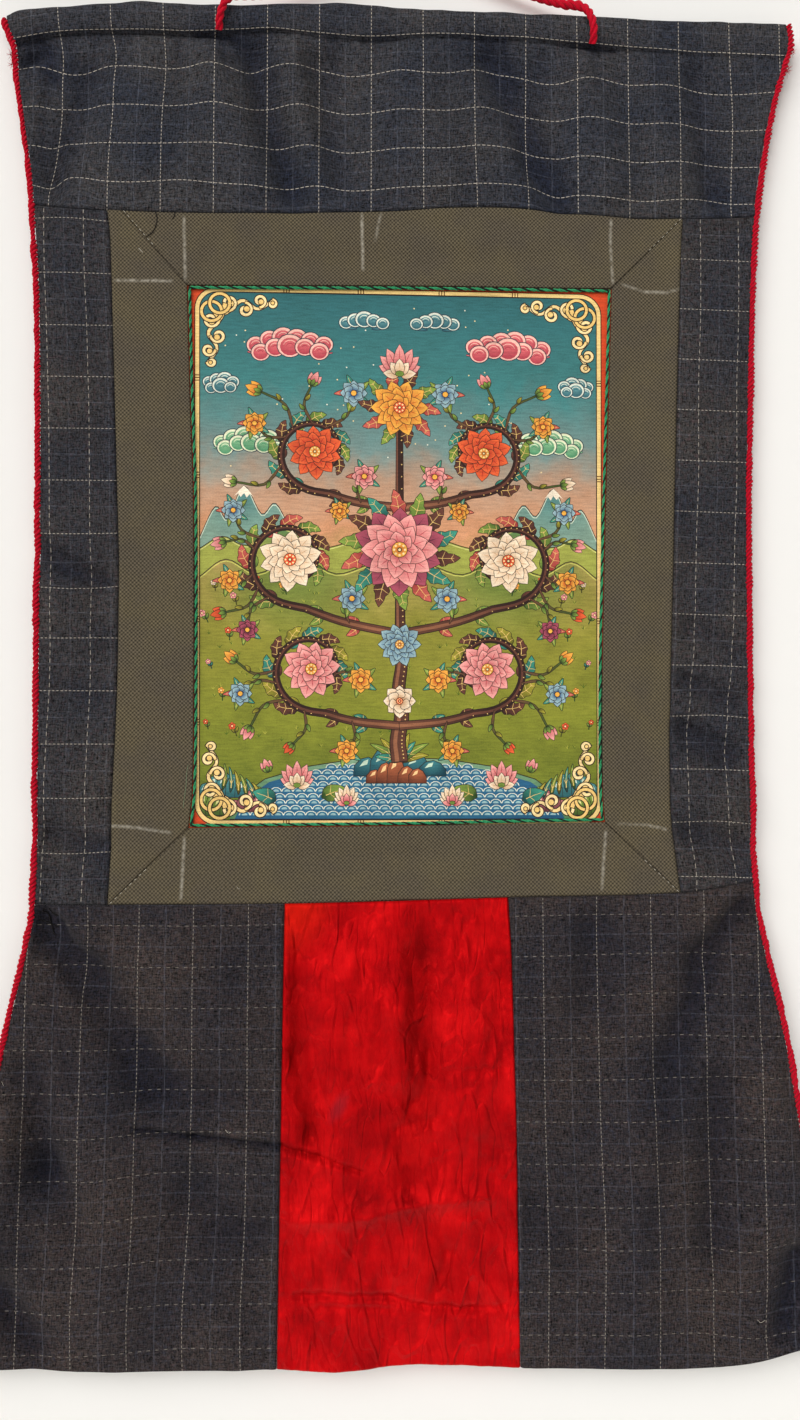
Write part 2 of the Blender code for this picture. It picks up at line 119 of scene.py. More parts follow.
LOWER_SEAM = table(Line, (
    (-201, -517), (-62, -516.8), (62, -513.8), (160, -511.6), (202, -505.2)))
HEM_LINE = table(Line, (
    (-247, -757.4), (-210, -759.4), (-130, -762), (-65, -762.8), (-31, -765.2), (1, -762.4), (34, -763),
    (66, -764.8), (153, -766.4), (190, -764.8), (218, -759), (244, -752.6)))
MOUNT_OUTSIDE = table(Side, (
    (-122, -166.2, 166.4), (-140, -164.2, 165.4), (-194, -162, 163), (-280, -158.6, 159.6),
    (-325, -157, 158), (-393, -156.8, 155.4), (-460, -158.8, 154), (-488, -159.2, 156.4),
    (-515, -160.2, 159.6)))
OPENING_SIDES = table(Side, (
    (-166, -120.3, 124), (-233, -118, 121.5), (-291, -115.6, 119.2), (-392, -114.4, 116),
    (-454, -114.6, 115.6), (-474, -116.4, 116.8)))
OPENING_TOP = table(Line, (
    (-121, -167), (-56, -166.3), (0, -165.3), (59, -164.7), (124, -164.1)))
OPENING_FOOT = table(Line, (
    (-117, -474.9), (-54, -474.5), (0, -474), (57, -473), (117, -472)))
SATIN_SIDES = table(Side, (
    (-514, -62.8, 61.7), (-548, -63.4, 63.5), (-610, -64, 64.8), (-650, -64.3, 65.4), (-706, -64.8, 65.6),
    (-765, -65.2, 66)))

# Main folds, as in the solids: soft ridges (rise above zero, towards the viewer) and troughs.
FOLDS = table(Fold, (
    (-178, -48, -195, -109, -2.2, 10), (-142, -34, -150, -108, 1.8, 15), (-110, -34, -84, -108, 2.2, 12),
    (-86, -26, -60, -111, -3.2, 10), (-64, -34, -46, -104, 1.6, 10), (-45, -34, -33, -101, -1.8, 9),
    (12, -34, 24, -108, 2.2, 17), (54, -26, 94, -112, -3.2, 10), (84, -30, 79, -89, -1.4, 8),
    (112, -36, 126, -108, 2.2, 14), (150, -36, 160, -108, 1.6, 13), (176, -34, 188, -108, -2.2, 10),
    (-196, -321, -168, -336, -2.4, 8), (-194, -352, -170, -368, 1.8, 9), (-193, -477, -164, -486, -2.2, 8),
    (-194, -448, -168, -456, 1.4, 10), (170, -362, 194, -374, -1.6, 8), (164, -391, 192, -404, -2.2, 7),
    (163, -419, 190, -434, -2.6, 8), (164, -450, 192, -460, 1.6, 10), (163, -478, 196, -487, -2.2, 8),
    (-196, -526, -170, -556, -3.4, 9), (-170, -556, -134, -616, -3, 13), (-134, -616, -80, -622, -1.8, 14),
    (-199, -607, -190, -658, -2.6, 10), (-190, -658, -172, -688, -2.2, 11),
    (-212, -640, -214, -700, 2.2, 11), (-214, -722, -194, -750, -3, 11), (-160, -640, -152, -740, 2.4, 18),
    (-126, -548, -92, -580, 2.2, 18), (-110, -676, -76, -696, -1.8, 16), (-100, -726, -86, -752, 1.6, 14),
    (195, -523, 172, -549, -2.6, 9), (172, -549, 153, -607, -2.6, 12), (182, -620, 175, -703, -2.8, 13),
    (108, -530, 105, -571, -2, 11), (76, -684, 98, -706, -1.8, 13), (136, -640, 128, -740, 2.4, 19),
    (206, -606, 214, -690, 2.4, 13), (218, -712, 210, -748, -2.4, 9), (-56, -540, -56, -600, -1.6, 7),
    (-56, -600, -48, -644, -1.6, 7), (-26, -560, -22, -640, 1.6, 14), (8, -543, 10, -626, -2.2, 9),
    (10, -626, 5, -668, -1.8, 9), (38, -560, 40, -640, 1.6, 11), (-48, -686, 52, -674, 1.6, 7),
    (20, -690, 24, -724, -1.6, 8), (-84, -152, 88, -149, -1.6, 9), (-54, -494, 10, -494, -1.6, 9),
    (82, -496, 110, -496, -1.4, 9), (-150, -325, -137, -359, -1.2, 10), (140, -330, 134, -400, 1.2, 11)))

# Finer creases, placed against the photograph.
CREASES = table(Fold, (
    # the top band's gathers under the heading, and its left end
    (-210, -33, -203, -30, -2.2, 4), (-209, -30, -214, -40, -1.6, 3), (-207, -36, -196, -47, -1.4, 4),
    (-199, -34, -204, -96, -1, 5), (-188, -26, -187, -40, -0.8, 3.5), (-172, -24, -176, -40, -0.7, 4),
    (-158, -22, -161, -40, -0.7, 4.5), (-127, -22, -124, -38, -0.8, 4), (-103, -20, -98, -40, -1, 3.5),
    (-78, -18, -72, -44, -0.9, 4), (-58, -18, -57, -38, 0.7, 4), (-38, -20, -35, -46, -0.8, 4),
    (-12, -20, -14, -36, -0.5, 4), (34, -18, 38, -36, -0.5, 4), (62, -18, 70, -44, -0.8, 4),
    (96, -20, 99, -40, -0.7, 4), (114, -22, 117, -44, -0.9, 4), (152, -24, 154, -40, -0.5, 4),
    # shadowed tucks at the cord's two holes, and small ones along the heading's seam
    (-116, -19, -92, -20, -1.5, 2.6), (102, -19, 126, -21, -1.5, 2.6), (-222, -28, -206, -24, -1.8, 3),
    (-150, -18, -132, -18, -0.8, 2), (-20, -19, 0, -18, -0.7, 2), (40, -16, 62, -16, -0.7, 2),
    # side strips
    (-197, -313, -170, -330, 0.8, 5), (-190, -330, -163, -338, -0.8, 4), (-196, -390, -166, -402, -0.7, 6),
    (-196, -424, -172, -431, 0.6, 6), (-192, -470, -166, -480, 0.8, 4), (-196, -498, -166, -504, -0.6, 5),
    (-196, -212, -168, -216, -0.5, 7), (-196, -262, -164, -255, -0.5, 8), (199, -304, 173, -314, -0.8, 6),
    (163, -385, 194, -398, 0.9, 4), (163, -412, 186, -424, 0.9, 4), (163, -430, 186, -441, -0.9, 4),
    (170, -462, 196, -474, 0.8, 5), (196, -240, 168, -232, -0.5, 8), (166, -494, 196, -501, -0.6, 5),
    # the pucker at the waist's left end, and the long drape line from it
    (-199, -523, -187, -531, -2.4, 2.6), (-194, -519, -190, -540, -1.6, 1.8),
    (-200, -531, -186, -527, -1.2, 2.5), (-190, -534, -170, -560, -1.2, 5), (-183, -522, -160, -548, 1, 6),
    (-191, -564, -178, -611, -1, 6), (-206, -572, -198, -618, 0.9, 6), (-150, -590, -128, -616, -0.8, 7),
    (-128, -624, -84, -630, 0.7, 6),
    # a sharp pinch that runs on into the satin
    (-142, -638, -112, -643, -3, 1.9), (-112, -643, -64, -648, -3, 1.7), (-138, -642, -80, -650, 0.9, 3),
    (-64, -648, -44, -654, -2, 1.1), (-44, -654, -20, -662, -1.5, 1), (-62, -652, -30, -662, 0.5, 3),
    # corner of the left panel
    (-224, -716, -198, -746, -1, 5), (-206, -704, -180, -726, 0.8, 7), (-176, -700, -150, -712, -0.6, 8),
    (-120, -700, -70, -690, -0.6, 7),
    # the right panel
    (197, -517, 186, -530, -1.4, 4), (188, -514, 168, -536, 0.8, 6), (180, -540, 160, -585, -0.8, 6),
    (192, -576, 182, -640, 0.8, 7), (197, -640, 200, -700, 0.9, 7), (150, -620, 140, -690, -0.8, 9),
    (84, -676, 112, -690, -0.6, 7), (222, -708, 214, -744, -1.2, 5), (120, -540, 118, -590, -0.6, 6),
    (74, -560, 84, -640, -0.6, 8),
    # the mount
    (-84, -156, 20, -153, -0.6, 4), (20, -140, 90, -138, 0.6, 7), (-112, -158, -104, -140, -0.8, 4),
    (-100, -160, -84, -148, 0.5, 4), (-160, -190, -128, -182, -0.4, 8), (-152, -300, -136, -336, -0.6, 6),
    (-150, -420, -128, -440, -0.6, 8), (140, -210, 132, -260, -0.5, 7), (148, -380, 132, -420, -0.5, 7),
    (-54, -490, 30, -489, -0.7, 5), (-100, -486, -60, -500, 0.5, 7), (30, -500, 110, -502, 0.5, 7),
    (126, -500, 148, -508, -0.6, 6), (-150, -505, -128, -488, -0.5, 6)))

# Dark zones painted on the satin as shade: where, how wide and tall, and how dark.
SATIN_SHADES = table(Shade, (
    (13, -560, 9, 34, 0.75), (15, -612, 11, 22, 0.65), (-56, -585, 4, 36, 0.6), (-49, -634, 5, 14, 0.8),
    (57, -556, 7, 30, 0.4), (6, -656, 26, 26, 0.35), (-12, -600, 14, 40, 0.15), (20, -715, 26, 14, 0.30),
    (-40, -712, 14, 10, 0.25)))

SATIN_CREASES = table(Fold, (
    # a pressed fold down the middle, with broad soft ones beside it
    (1, -516, -1, -575, 1.7, 11), (-1, -575, 6, -606, 1.5, 10), (6, -606, 14, -628, 1.1, 9),
    (16, -530, 17, -600, -1.3, 9), (17, -600, 14, -624, -1.1, 8), (-55, -545, -48, -593, -1.3, 6),
    (-48, -593, -45, -614, -1.3, 5), (-45, -614, -39, -632, -1.1, 4), (-49, -622, -47, -645, -1.4, 4),
    (-34, -540, -36, -610, 1.1, 11), (56, -560, 58, -600, -1.2, 7), (38, -560, 42, -640, 0.9, 12),
    (-20, -548, -2, -573, -0.6, 1.8), (-27, -578, -26, -612, -0.7, 2.2), (14, -570, 17, -598, -0.6, 1.8),
    (17, -598, 14, -623, -0.6, 1.8), (10, -579, 11, -604, 0.5, 1.8), (44, -522, 54, -546, -0.8, 2.6),
    (38, -528, 42, -542, -0.7, 2.4), (32, -522, 36, -552, -0.6, 2.4), (36, -552, 38, -565, -0.5, 2.4),
    (31, -608, 62, -607, -0.8, 2.2), (0, -639, 23, -633, -0.6, 3), (-61, -687, -17, -686, 0.9, 3),
    (-17, -686, 6, -679, 0.9, 3), (6, -679, 48, -676, 0.8, 3),
    # the sharp crease above the hem
    (-55, -726, -5, -728, -1.5, 1.9), (-5, -728, 13, -733, -1.3, 1.8), (13, -733, 40, -735, -1.5, 1.8),
    (40, -735, 58, -733, -1, 1.8), (-43, -732, -4, -734, -0.9, 1.7), (-57, -537, -57, -600, -0.6, 2.9),
    (-57, -600, -49, -644, -0.7, 2.9), (-48, -530, -50, -590, 0.5, 4), (-36, -540, -32, -600, -0.4, 4),
    (-22, -520, -18, -560, -0.5, 3.2), (-12, -530, -16, -610, 0.4, 4), (6, -543, 11, -586, -0.8, 3.2),
    (11, -586, 8, -626, -0.8, 3.2), (8, -626, 0, -641, -0.8, 3.2), (0, -641, 6, -673, -0.8, 3.2),
    (19, -583, 17, -608, -0.6, 2.9), (30, -619, 19, -637, -0.7, 2.9), (19, -637, 22, -661, -0.6, 2.9),
    (24, -530, 28, -570, 0.6, 4), (46, -540, 50, -590, -0.5, 4), (52, -600, 46, -640, 0.5, 4),
    (40, -644, 60, -652, -0.5, 4), (19, -682, 27, -705, -0.8, 2.9), (27, -705, 20, -727, -0.8, 2.9),
    (-44, -694, -40, -722, -0.7, 3.2), (-16, -688, -12, -720, -0.6, 3.2), (44, -684, 48, -716, -0.6, 3.2),
    (-28, -664, -30, -684, 0.5, 3.2), (-46, -734, -44, -758, -0.8, 2.9), (-26, -736, -27, -760, -0.7, 2.9),
    (-8, -738, -6, -760, -0.6, 2.4), (12, -738, 10, -758, -0.8, 2.9), (32, -736, 34, -758, -0.7, 2.9),
    (48, -732, 52, -756, -0.7, 2.9), (-60, -700, -58, -745, -0.6, 2.4), (60, -690, 59, -740, -0.5, 2.4)))

# How full the padded heading is along the scroll, from 0 to 1.
HEADING_FULLNESS = table(Line, (
    (-226, 0.55), (-205, 0.85), (-180, 1), (-150, 0.92), (-118, 1), (-84, 0.80), (-50, 0.72), (-18, 0.86),
    (10, 0.62), (50, 0.55), (88, 0.66), (112, 0.82), (140, 0.60), (185, 0.42), (230, 0.34)))
HEADING_OVERHANG = 1.2      # how far the roll sags over its own seam
HEADING_DROP = 2.0          # from the line seen on the roll down to the seam under it

HANGING_ROUTE = table(Route, (
    (-103, -3.4, -18), (-102.6, -6.3, -13.8), (-101, -8, -8.4), (-98.4, -7.6, -3), (-94.2, -5.8, 0.8),
    (-88, -3.6, 2.8), (-79, -1.5, 4.9), (-66, 0, 9.4), (-46, 1, 17), (-26, 1.8, 24.6), (-8, 2.2, 31.9),
    (0.5, 2.2, 35.6), (8, 2.2, 37), (15.4, 2.2, 35.6), (24, 2.2, 32), (42, 2, 24.6), (62, 1.2, 16.8),
    (82, -0.4, 9), (90, -1.8, 5.8), (96, -2.8, 3.8), (100.4, -3.6, 3), (104.8, -4.8, 1.8),
    (108.8, -6.6, -1.2), (111.4, -7.9, -5.8), (112.8, -8.2, -10.8), (113.3, -7, -15.4), (113.4, -3.6, -20.2)))
KNOT_BUMPS = (99.0, 104.6)
KNOT_SWELL = 0.24
KNOT_BUMP_LENGTH = 2.4
LAY_LENGTH = 15.0       # of the hanging cord, for each full turn of its plies
SEWN_LAY_LENGTH = 8.0   # and of the cords that are sewn on

DOT_LINE_PITCH = 30.0       # between the lines that show as dots
DASH_LINE_PITCH = 22.4      # between the lines that show as dashes
BAND_DOTS_FROM, BAND_DOTS_STEP = 14.6, 30.1     # where they hang on the top band
# Two of the dash lines across the top band, three repeats apart, as the gathers bend them.
BAND_LINE_ONE = table(Line, (
    (-216, -42.1), (-205, -40.6), (-190, -44.4), (-181, -43.7), (-165, -39.2), (-135, -40.9), (-122, -39.5),
    (-108, -36.7), (-88, -40.1), (-76, -37.2), (-60, -35.9), (-45, -37.6), (-29, -41.7), (-15, -40.2),
    (0, -37.6), (15, -38.9), (29, -38.2), (48, -34.5), (62, -36.8), (74, -39.5), (92, -42.5), (111, -38.9),
    (135, -42.2), (165, -42), (192, -46.2), (222, -44)))
BAND_LINE_FOUR = table(Line, (
    (-208, -109.9), (-198, -111), (-190, -105.3), (-185, -104.6), (-166, -107.4), (-150, -108.2),
    (-125, -105.6), (-105, -107), (-75, -109.5), (-55, -107.8), (-45, -108.1), (-24, -109.9), (3, -107.2),
    (26, -106.7), (49, -103.4), (77, -104.5), (93, -109.1), (105, -108.6), (139, -112), (182, -109.6),
    (196, -111.8), (207, -111.9)))
# Where the weave is pulled out of line: how far its lines move across and along, fading with distance.
BAND_PULLS = table(Pull, (
    (-196, -34, 3.2, 0, 17), (-165, -32, 3, 0, 14), (-138, -38, 2.4, 0, 20), (-193, -66, 3.4, 0, 26),
    (-160, -60, 1.6, 0, 22), (-196, -118, -3.6, 0, 14), (196, -62, 1.6, 0, 30), (60, -118, 1.6, 0, 30)))
SIDE_PULLS = table(Pull, (
    (-192, -130, 0, 3, 26), (-180, -215, 1, 0, 40), (178, -430, -2.6, 1.2, 46), (180, -505, 3.4, 0, 20),
    (-184, -335, 0.6, -2.2, 24), (-182, -480, 0.8, -1.6, 18), (180, -404, 0, 1.4, 18),
    (180, -480, 0, 1.6, 16)))
SIDE_TILT = {"left": 0.0, "right": 0.025}       # how steeply the dotted lines fall to the right
# How far the side strips' weave leans from upright, in mm to the right.
SIDE_LEAN = table(Lean, (
    (-120, -4.3, 3.1), (-156, -3.4, 2.9), (-185, -2.2, 2.2), (-215, -1.3, 0.8), (-246, 0.3, 0.2),
    (-275, 1.4, -0.3), (-305, 2, -1.9), (-336, 2.7, -3), (-366, 3.6, -3.7), (-396, 3.7, -5.2),
    (-426, 2.5, -6.8), (-457, 1.8, -7.7), (-488, 1.3, -7.5), (-506, 0.9, -7.5)))
LOWER_PULLS = table(Pull, (
    (-205, -566, 0, 3.2, 24), (-182, -655, 0, -2, 30), (-128, -672, 0, 2.2, 34),
    (-182, -735, -1.4, -2.4, 26), (-110, -740, -3, 1.4, 44), (-175, -530, 3, 0, 24),
    (192, -704, 0, -4.6, 22), (222, -716, 0, 4, 20), (196, -752, -2, -4, 22), (150, -560, 0, 2, 34),
    (110, -700, 2, -0.8, 46)))

CHALK = table(Mark, (
    (-122.5, -126, -121.2, -165.8, 0.8), (-20.9, -122, -20.1, -157.4, 1),
    (-9.6, -121.8, -13.5, -140.3, 0.55), (123.9, -122.4, 123.5, -141, 0.8),
    (123.5, -138, 124.8, -162.3, 0.7), (-118.4, -479, -120.2, -515.6, 0.8), (117, -475.5, 114.4, -511, 0.7),
    (-162.6, -164.8, -127.1, -164.7, 0.9), (129, -161.2, 144, -165.8, 0.55), (141, -165.6, 158, -165.9, 0.9),
    (154, -166.2, 165, -163.2, 0.7), (-161, -473.4, -144, -474.7, 0.8), (-147, -474.2, -125, -477.7, 0.75),
    (122, -472.8, 143, -473.8, 0.35), (139, -473.3, 153.5, -476.6, 0.7)))
CHALK_HALF_WIDTH = 0.8

CORD_TUFTS = [("left", -34.5), ("left", -40.0), ("right", -20.0), ("right", -31.5)]
# Loose threads and lint that lie on the cloth: the sheet, how thick, and where they run.
LOOSE_THREADS = [
    Thread("mount_top", "dark", 0.62, [(-138.9, -124.4), (-137.6, -127.6), (-137.7, -131.2), (-139.6, -136.4),
                                       (-143.0, -139.6)]),
    Thread("mount_top", "dark", 0.50, [(-127.8, -124.9), (-127.4, -126.8), (-128.9, -129.2)]),
    Thread("mount_left", "green", 0.26, [(-116.8, -440.0), (-117.6, -445.0), (-117.8, -451.1),
                                         (-118.8, -459.4), (-119.3, -463.8)]),
    Thread("mount_left", "pale", 0.55, [(-147.6, -146.4), (-145.4, -148.8)]),
    Thread("mount_bottom", "pale", 0.26, [(-89.4, -507.2), (-88.2, -508.6), (-87.6, -508.2)]),
    Thread("lower_panel_left", "dark", 0.95, [(-196.4, -520.4), (-193.6, -522.4), (-192.2, -527.4),
                                              (-190.2, -533.8)]),
    Thread("lower_panel_left", "dark", 0.75, [(-192.6, -518.4), (-190.4, -521.6), (-187.2, -523.0)]),
    Thread("lower_panel_left", "dark", 0.75, [(-197.6, -525.8), (-193.4, -527.0), (-188.4, -529.6)]),
    Thread("lower_panel_left", "pale", 0.24, [(-94.2, -638.6), (-92.6, -640.2), (-91.0, -639.6)]),
    Thread("lower_panel_right", "pale", 0.26, [(195.8, -742.0), (197.6, -743.6), (200.4, -742.8)]),
    Thread("lower_panel_left", "pale", 0.22, [(-214.6, -611.0), (-213.4, -613.4)]),
    Thread("side_panel_right", "pale", 0.22, [(188.0, -471.6), (189.6, -472.8)]),
    Thread("top_panel", "pale", 0.20, [(-34.0, -51.6), (-33.2, -52.6)])]

# ---------------------------------------------------------------- how fine the meshes are, in millimetres
EDGE_STATIONS = (0.0, 0.3, 0.7, 1.3, 2.2, 3.4)      # rows of vertices beside a sewn edge
SUITING_CELL = 1.6
SATIN_CELL = 1.25
MOUNT_CELL = 2.4
CANVAS_CELL = 5.0
BAND_WIDE = 440.0           # the top band below its heading, for its rows and columns
BAND_TALL = 104.0
MITRED_TALL = 380.0         # and a mitred side strip of the mount
RIM_STEPS = 60              # along each side of the canvas's rim


# ---------------------------------------------------------------- smooth lines
def smooth(rows, key, value):
    """A smooth function through a table's rows: cubic between neighbours, straight beyond the ends."""
    points = sorted((getattr(row, key), getattr(row, value)) for row in rows)
    at = np.array([p[0] for p in points], float)
    worth = np.array([p[1] for p in points], float)
    slope = np.gradient(worth, at)
    slope[1:-1] = (worth[2:] - worth[:-2]) / (at[2:] - at[:-2])

    def curve(place):
        place = np.asarray(place, float)
        i = np.clip(np.searchsorted(at, place, side="right") - 1, 0, len(at) - 2)
        span = at[i + 1] - at[i]
        s = (place - at[i]) / span
        inside = (worth[i] * (1 + 2 * s) * (1 - s) ** 2 + worth[i + 1] * s * s * (3 - 2 * s)
                  + span * (slope[i] * s * (1 - s) ** 2 - slope[i + 1] * s * s * (1 - s)))
        before = worth[0] + (place - at[0]) * slope[0]
        after = worth[-1] + (place - at[-1]) * slope[-1]
        return np.where(place <= at[0], before, np.where(place >= at[-1], after, inside))
    return curve


def shifted(line, step):
    """The same line, moved by a step."""
    return lambda t: line(t) + step


def diagonal(t0, v0, t1, v1):
    """A straight seam from one corner to another."""
    return lambda t: v0 + (v1 - v0) * (np.asarray(t, float) - t0) / (t1 - t0)


def step_up(value, low, high):
    """0 below low, 1 above high, and smooth between them."""
    s = np.clip((value - low) / (high - low), 0.0, 1.0)
    return s * s * (3 - 2 * s)


cord_left = smooth(SIDES, "z", "left")
cord_right = smooth(SIDES, "z", "right")
top_edge = smooth(TOP_EDGE, "x", "z")
heading_line = smooth(HEADING_SEAM, "x", "z")
heading_seam = shifted(heading_line, -HEADING_DROP)
heading_fullness = smooth(HEADING_FULLNESS, "x", "z")
upper_seam = smooth(UPPER_SEAM, "x", "z")
lower_seam = smooth(LOWER_SEAM, "x", "z")
hem_line = smooth(HEM_LINE, "x", "z")
mount_left = smooth(MOUNT_OUTSIDE, "z", "left")
mount_right = smooth(MOUNT_OUTSIDE, "z", "right")
open_left = smooth(OPENING_SIDES, "z", "left")
open_right = smooth(OPENING_SIDES, "z", "right")
open_top = smooth(OPENING_TOP, "x", "z")
open_foot = smooth(OPENING_FOOT, "x", "z")
satin_left = smooth(SATIN_SIDES, "z", "left")
satin_right = smooth(SATIN_SIDES, "z", "right")
band_line_one = smooth(BAND_LINE_ONE, "x", "z")
band_line_four = smooth(BAND_LINE_FOUR, "x", "z")
# the sheets reach their cords, which are sewn to them; the solids keep a small gap there
cloth_left = shifted(cord_left, EDGE_CORD / 2 - CORD_BITE)
cloth_right = shifted(cord_right, CORD_BITE - EDGE_CORD / 2)


# ---------------------------------------------------------------- how the cloth hangs
def fold_heights(folds, x, z, sharpness=2.0):
    """How far a table's folds lift the cloth. Each is faded beyond its ends and round across its line, or
    creased there where the sharpness is near 1."""
    total = np.zeros(np.broadcast(x, z).shape)
    for fold in folds:
        run_x, run_z = fold.x1 - fold.x0, fold.z1 - fold.z0
        along = np.clip(((x - fold.x0) * run_x + (z - fold.z0) * run_z) / (run_x ** 2 + run_z ** 2), 0.0, 1.0)
        away = np.hypot(x - fold.x0 - along * run_x, z - fold.z0 - along * run_z)
        total += fold.rise * np.exp(-(away / fold.half_width) ** sharpness)
    return total


def hang(x, z):
    """The y of the cloth's middle in the solids: the folds, a slow wave, and the lift below the waist."""
    drop = np.clip((WAIST - z) / (WAIST - HEM), 0.0, 1.1)
    wave = 0.9 * np.sin(x / 70.0 + z / 160.0) * np.clip(-z / 60.0, 0.0, 1.0)
    return -(fold_heights(FOLDS, x, z) + HEM_LIFT * drop ** 1.4) + wave


def ruffle(x, z, wide, tall, seed):
    """Smooth noise from about -1 to 1 whose lumps are that wide and tall."""
    flat = [noise.noise(Vector((a / wide, b / tall, seed))) for a, b in zip(np.ravel(x), np.ravel(z))]
    return np.array(flat).reshape(np.shape(x))


def suiting_relief(x, z, inside=0.0):
    """The woollen cloth's finer creases, its folds' sharper crowns, and a hung sheet's unevenness."""
    small = 0.34 * ruffle(x, z, 17, 46, 3.1) + 0.12 * ruffle(x, z, 6, 11, 8.7)
    broad = 4.0 * ruffle(x, z, 38, 110, 6.6) + 1.2 * ruffle(x, z, 14, 30, 12.6)
    creases = (1.2 + inside) * fold_heights(CREASES, x, z, CREASED)
    return -creases - small - inside * (SHARPER * fold_heights(FOLDS, x, z) + broad)


def satin_relief(x, z, inside=0.0):
    """Satin crinkles sharply: billowed noise gives it short ridges between the creases."""
    lean = x + 0.30 * z
    crinkle = (3.2 * np.abs(ruffle(lean, z, 24, 120, 5.5))
               + 2.2 * np.abs(ruffle(x - 0.25 * z, z, 10, 60, 11.9))
               + 1.0 * np.abs(ruffle(x, z, 5, 16, 4.2)))
    side = np.maximum(np.minimum(x - satin_left(z), satin_right(z) - x), 0.0)
    pucker = 1.5 * np.exp(-(side / 4.0) ** 2) * (1 - np.exp(-(side / 1.0) ** 2))
    pucker = pucker * ruffle(side, z, 7, 3.4, 8.8)
    folds = (1.0 + inside) * (fold_heights(SATIN_CREASES, x, z, SATIN_CREASED)
                              + fold_heights(CREASES, x, z, CREASED))
    return -folds - inside * (crinkle - 1.6) - pucker - 0.14 * ruffle(x, z, 3.2, 8, 2.4)


def mount_relief(x, z, inside=0.0):
    """The mount is firm: faint creases and hardly any unevenness."""
    return -fold_heights(CREASES, x, z, CREASED) - (0.16 + 0.35 * inside) * ruffle(x, z, 20, 24, 7.3)


def canvas_relief(x, z):
    """Primed canvas lies nearly flat."""
    return -0.10 * ruffle(x, z, 26, 30, 1.7)


# ---------------------------------------------------------------- mesh making
def stations(length, cell):
    """Fractions along a side: even cells, with finer ones beside its two sewn edges."""
    first, last = EDGE_STATIONS[-1], length - EDGE_STATIONS[-1]
    count = max(2, round((last - first) / cell))
    middle = [first + (last - first) * i / count for i in range(count + 1)]
    return np.array([*EDGE_STATIONS[:-1], *middle, *(length - e for e in EDGE_STATIONS[-2::-1])]) / length


def place_grid(left, right, upper, lower, columns, rows):
    """x and z of a grid between four lines, as two arrays with a row for each station from the top."""
    u, v = np.meshgrid(columns, rows)
    x = np.zeros_like(u)
    z = upper(x) + v * (lower(x) - upper(x))
    for _ in range(8):
        x = left(z) + u * (right(z) - left(z))
        z = upper(x) + v * (lower(x) - upper(x))
    return x, z


def closed_sheet(name, x, z, front, back, cloth_map, material):
    """A closed sheet of cloth: a front grid, a back grid and a rim, with the cloth's own millimetres as UVs.
    The weave's lines were measured against the plain hanging cloth, so each place on a fold is first slid
    along its line of sight to there: then the lines bend over the folds as they should."""
    rows, columns = x.shape
    count = rows * columns
    points = np.concatenate([
        np.stack([x, front, z], -1).reshape(-1, 3), np.stack([x, back, z], -1).reshape(-1, 3)]) * MM
    index = np.arange(count).reshape(rows, columns)
    a, b, c, d = index[:-1, :-1], index[1:, :-1], index[1:, 1:], index[:-1, 1:]
    face_front = np.stack([a, b, c, d], -1).reshape(-1, 4)
    face_back = np.stack([a, d, c, b], -1).reshape(-1, 4) + count
    rim = np.concatenate([index[0, :], index[1:, -1], index[-1, -2::-1], index[-2:0:-1, 0]])
    after = np.roll(rim, -1)
    face_rim = np.stack([rim, after, after + count, rim + count], -1)
    faces = np.concatenate([face_front, face_back, face_rim])
    mesh = bpy.data.meshes.new(name)
    mesh.from_pydata(points.tolist(), [], faces.tolist())
    layer = mesh.uv_layers.new(name="cloth_mm")
    loops = faces.reshape(-1) % count
    here_x, here_y, here_z = CAMERA_PLACE
    slide = (hang(x, z) - here_y) / (front - here_y)
    across, along = cloth_map(here_x + (x - here_x) * slide, here_z + (z - here_z) * slide)
    uv = np.stack([across.reshape(-1)[loops], along.reshape(-1)[loops]], -1)
    layer.data.foreach_set("uv", uv.reshape(-1).astype(np.float32))
    # painted shade: each place is drawn darker by the depth of its folds' and creases' hollows and, on the
    # satin, by the listed shade zones
    depth = np.maximum(-fold_heights(FOLDS, x, z) / HOLLOW_DEPTH, 0.0)
    if material == satin:
        for shade in SATIN_SHADES:
            away = ((x - shade.x) / shade.wide) ** 2 + ((z - shade.z) / shade.tall) ** 2
            depth = depth + shade.depth * np.exp(-away)
    depth = depth + np.maximum(-fold_heights(CREASES, x, z, CREASED) / CREASE_DEPTH, 0.0)
    hollow_shade = np.clip(depth, 0.0, 1.0).reshape(-1)
    mesh.attributes.new("hollow_shade", "FLOAT", "POINT").data.foreach_set(
        "value", np.concatenate([hollow_shade, hollow_shade]).astype(np.float32))
    mesh.shade_smooth()
    return placed(name, mesh, material)


def placed(name, mesh, material=None):
    """The mesh as an object in the scene."""
    if material:
        mesh.materials.append(material)
    thing = bpy.data.objects.new(name, mesh)
    bpy.context.scene.collection.objects.link(thing)
    return thing


def sewn_roll(*distances, dip=0.95):
    """How the cloth turns back into its seams: a soft swell beside each and a dip at it."""
    total = 0.0
    for away in distances:
        total = total + dip * np.exp(-(away / 0.60) ** 2) - 0.22 * np.exp(-((away - 2.6) / 1.8) ** 2)
    return total


def turned_back(*distances):
    """How much thicker the back is where seam allowances and hems are turned on it."""
    total = np.zeros_like(distances[0])
    for away in distances:
        total = np.maximum(total, 0.55 * (1 - step_up(away, 9.6, 10.4)))
    return total


faces_of = {}      # for each sheet, the y of its front at any x and z


def flat_area(x, z):
    """Area of the outline in square metres."""
    a = np.stack([x[1:, 1:] - x[:-1, :-1], z[1:, 1:] - z[:-1, :-1]])
    b = np.stack([x[1:, :-1] - x[:-1, 1:], z[1:, :-1] - z[:-1, 1:]])
    return float(np.abs(a[0] * b[1] - a[1] * b[0]).sum()) / 2 * MM * MM


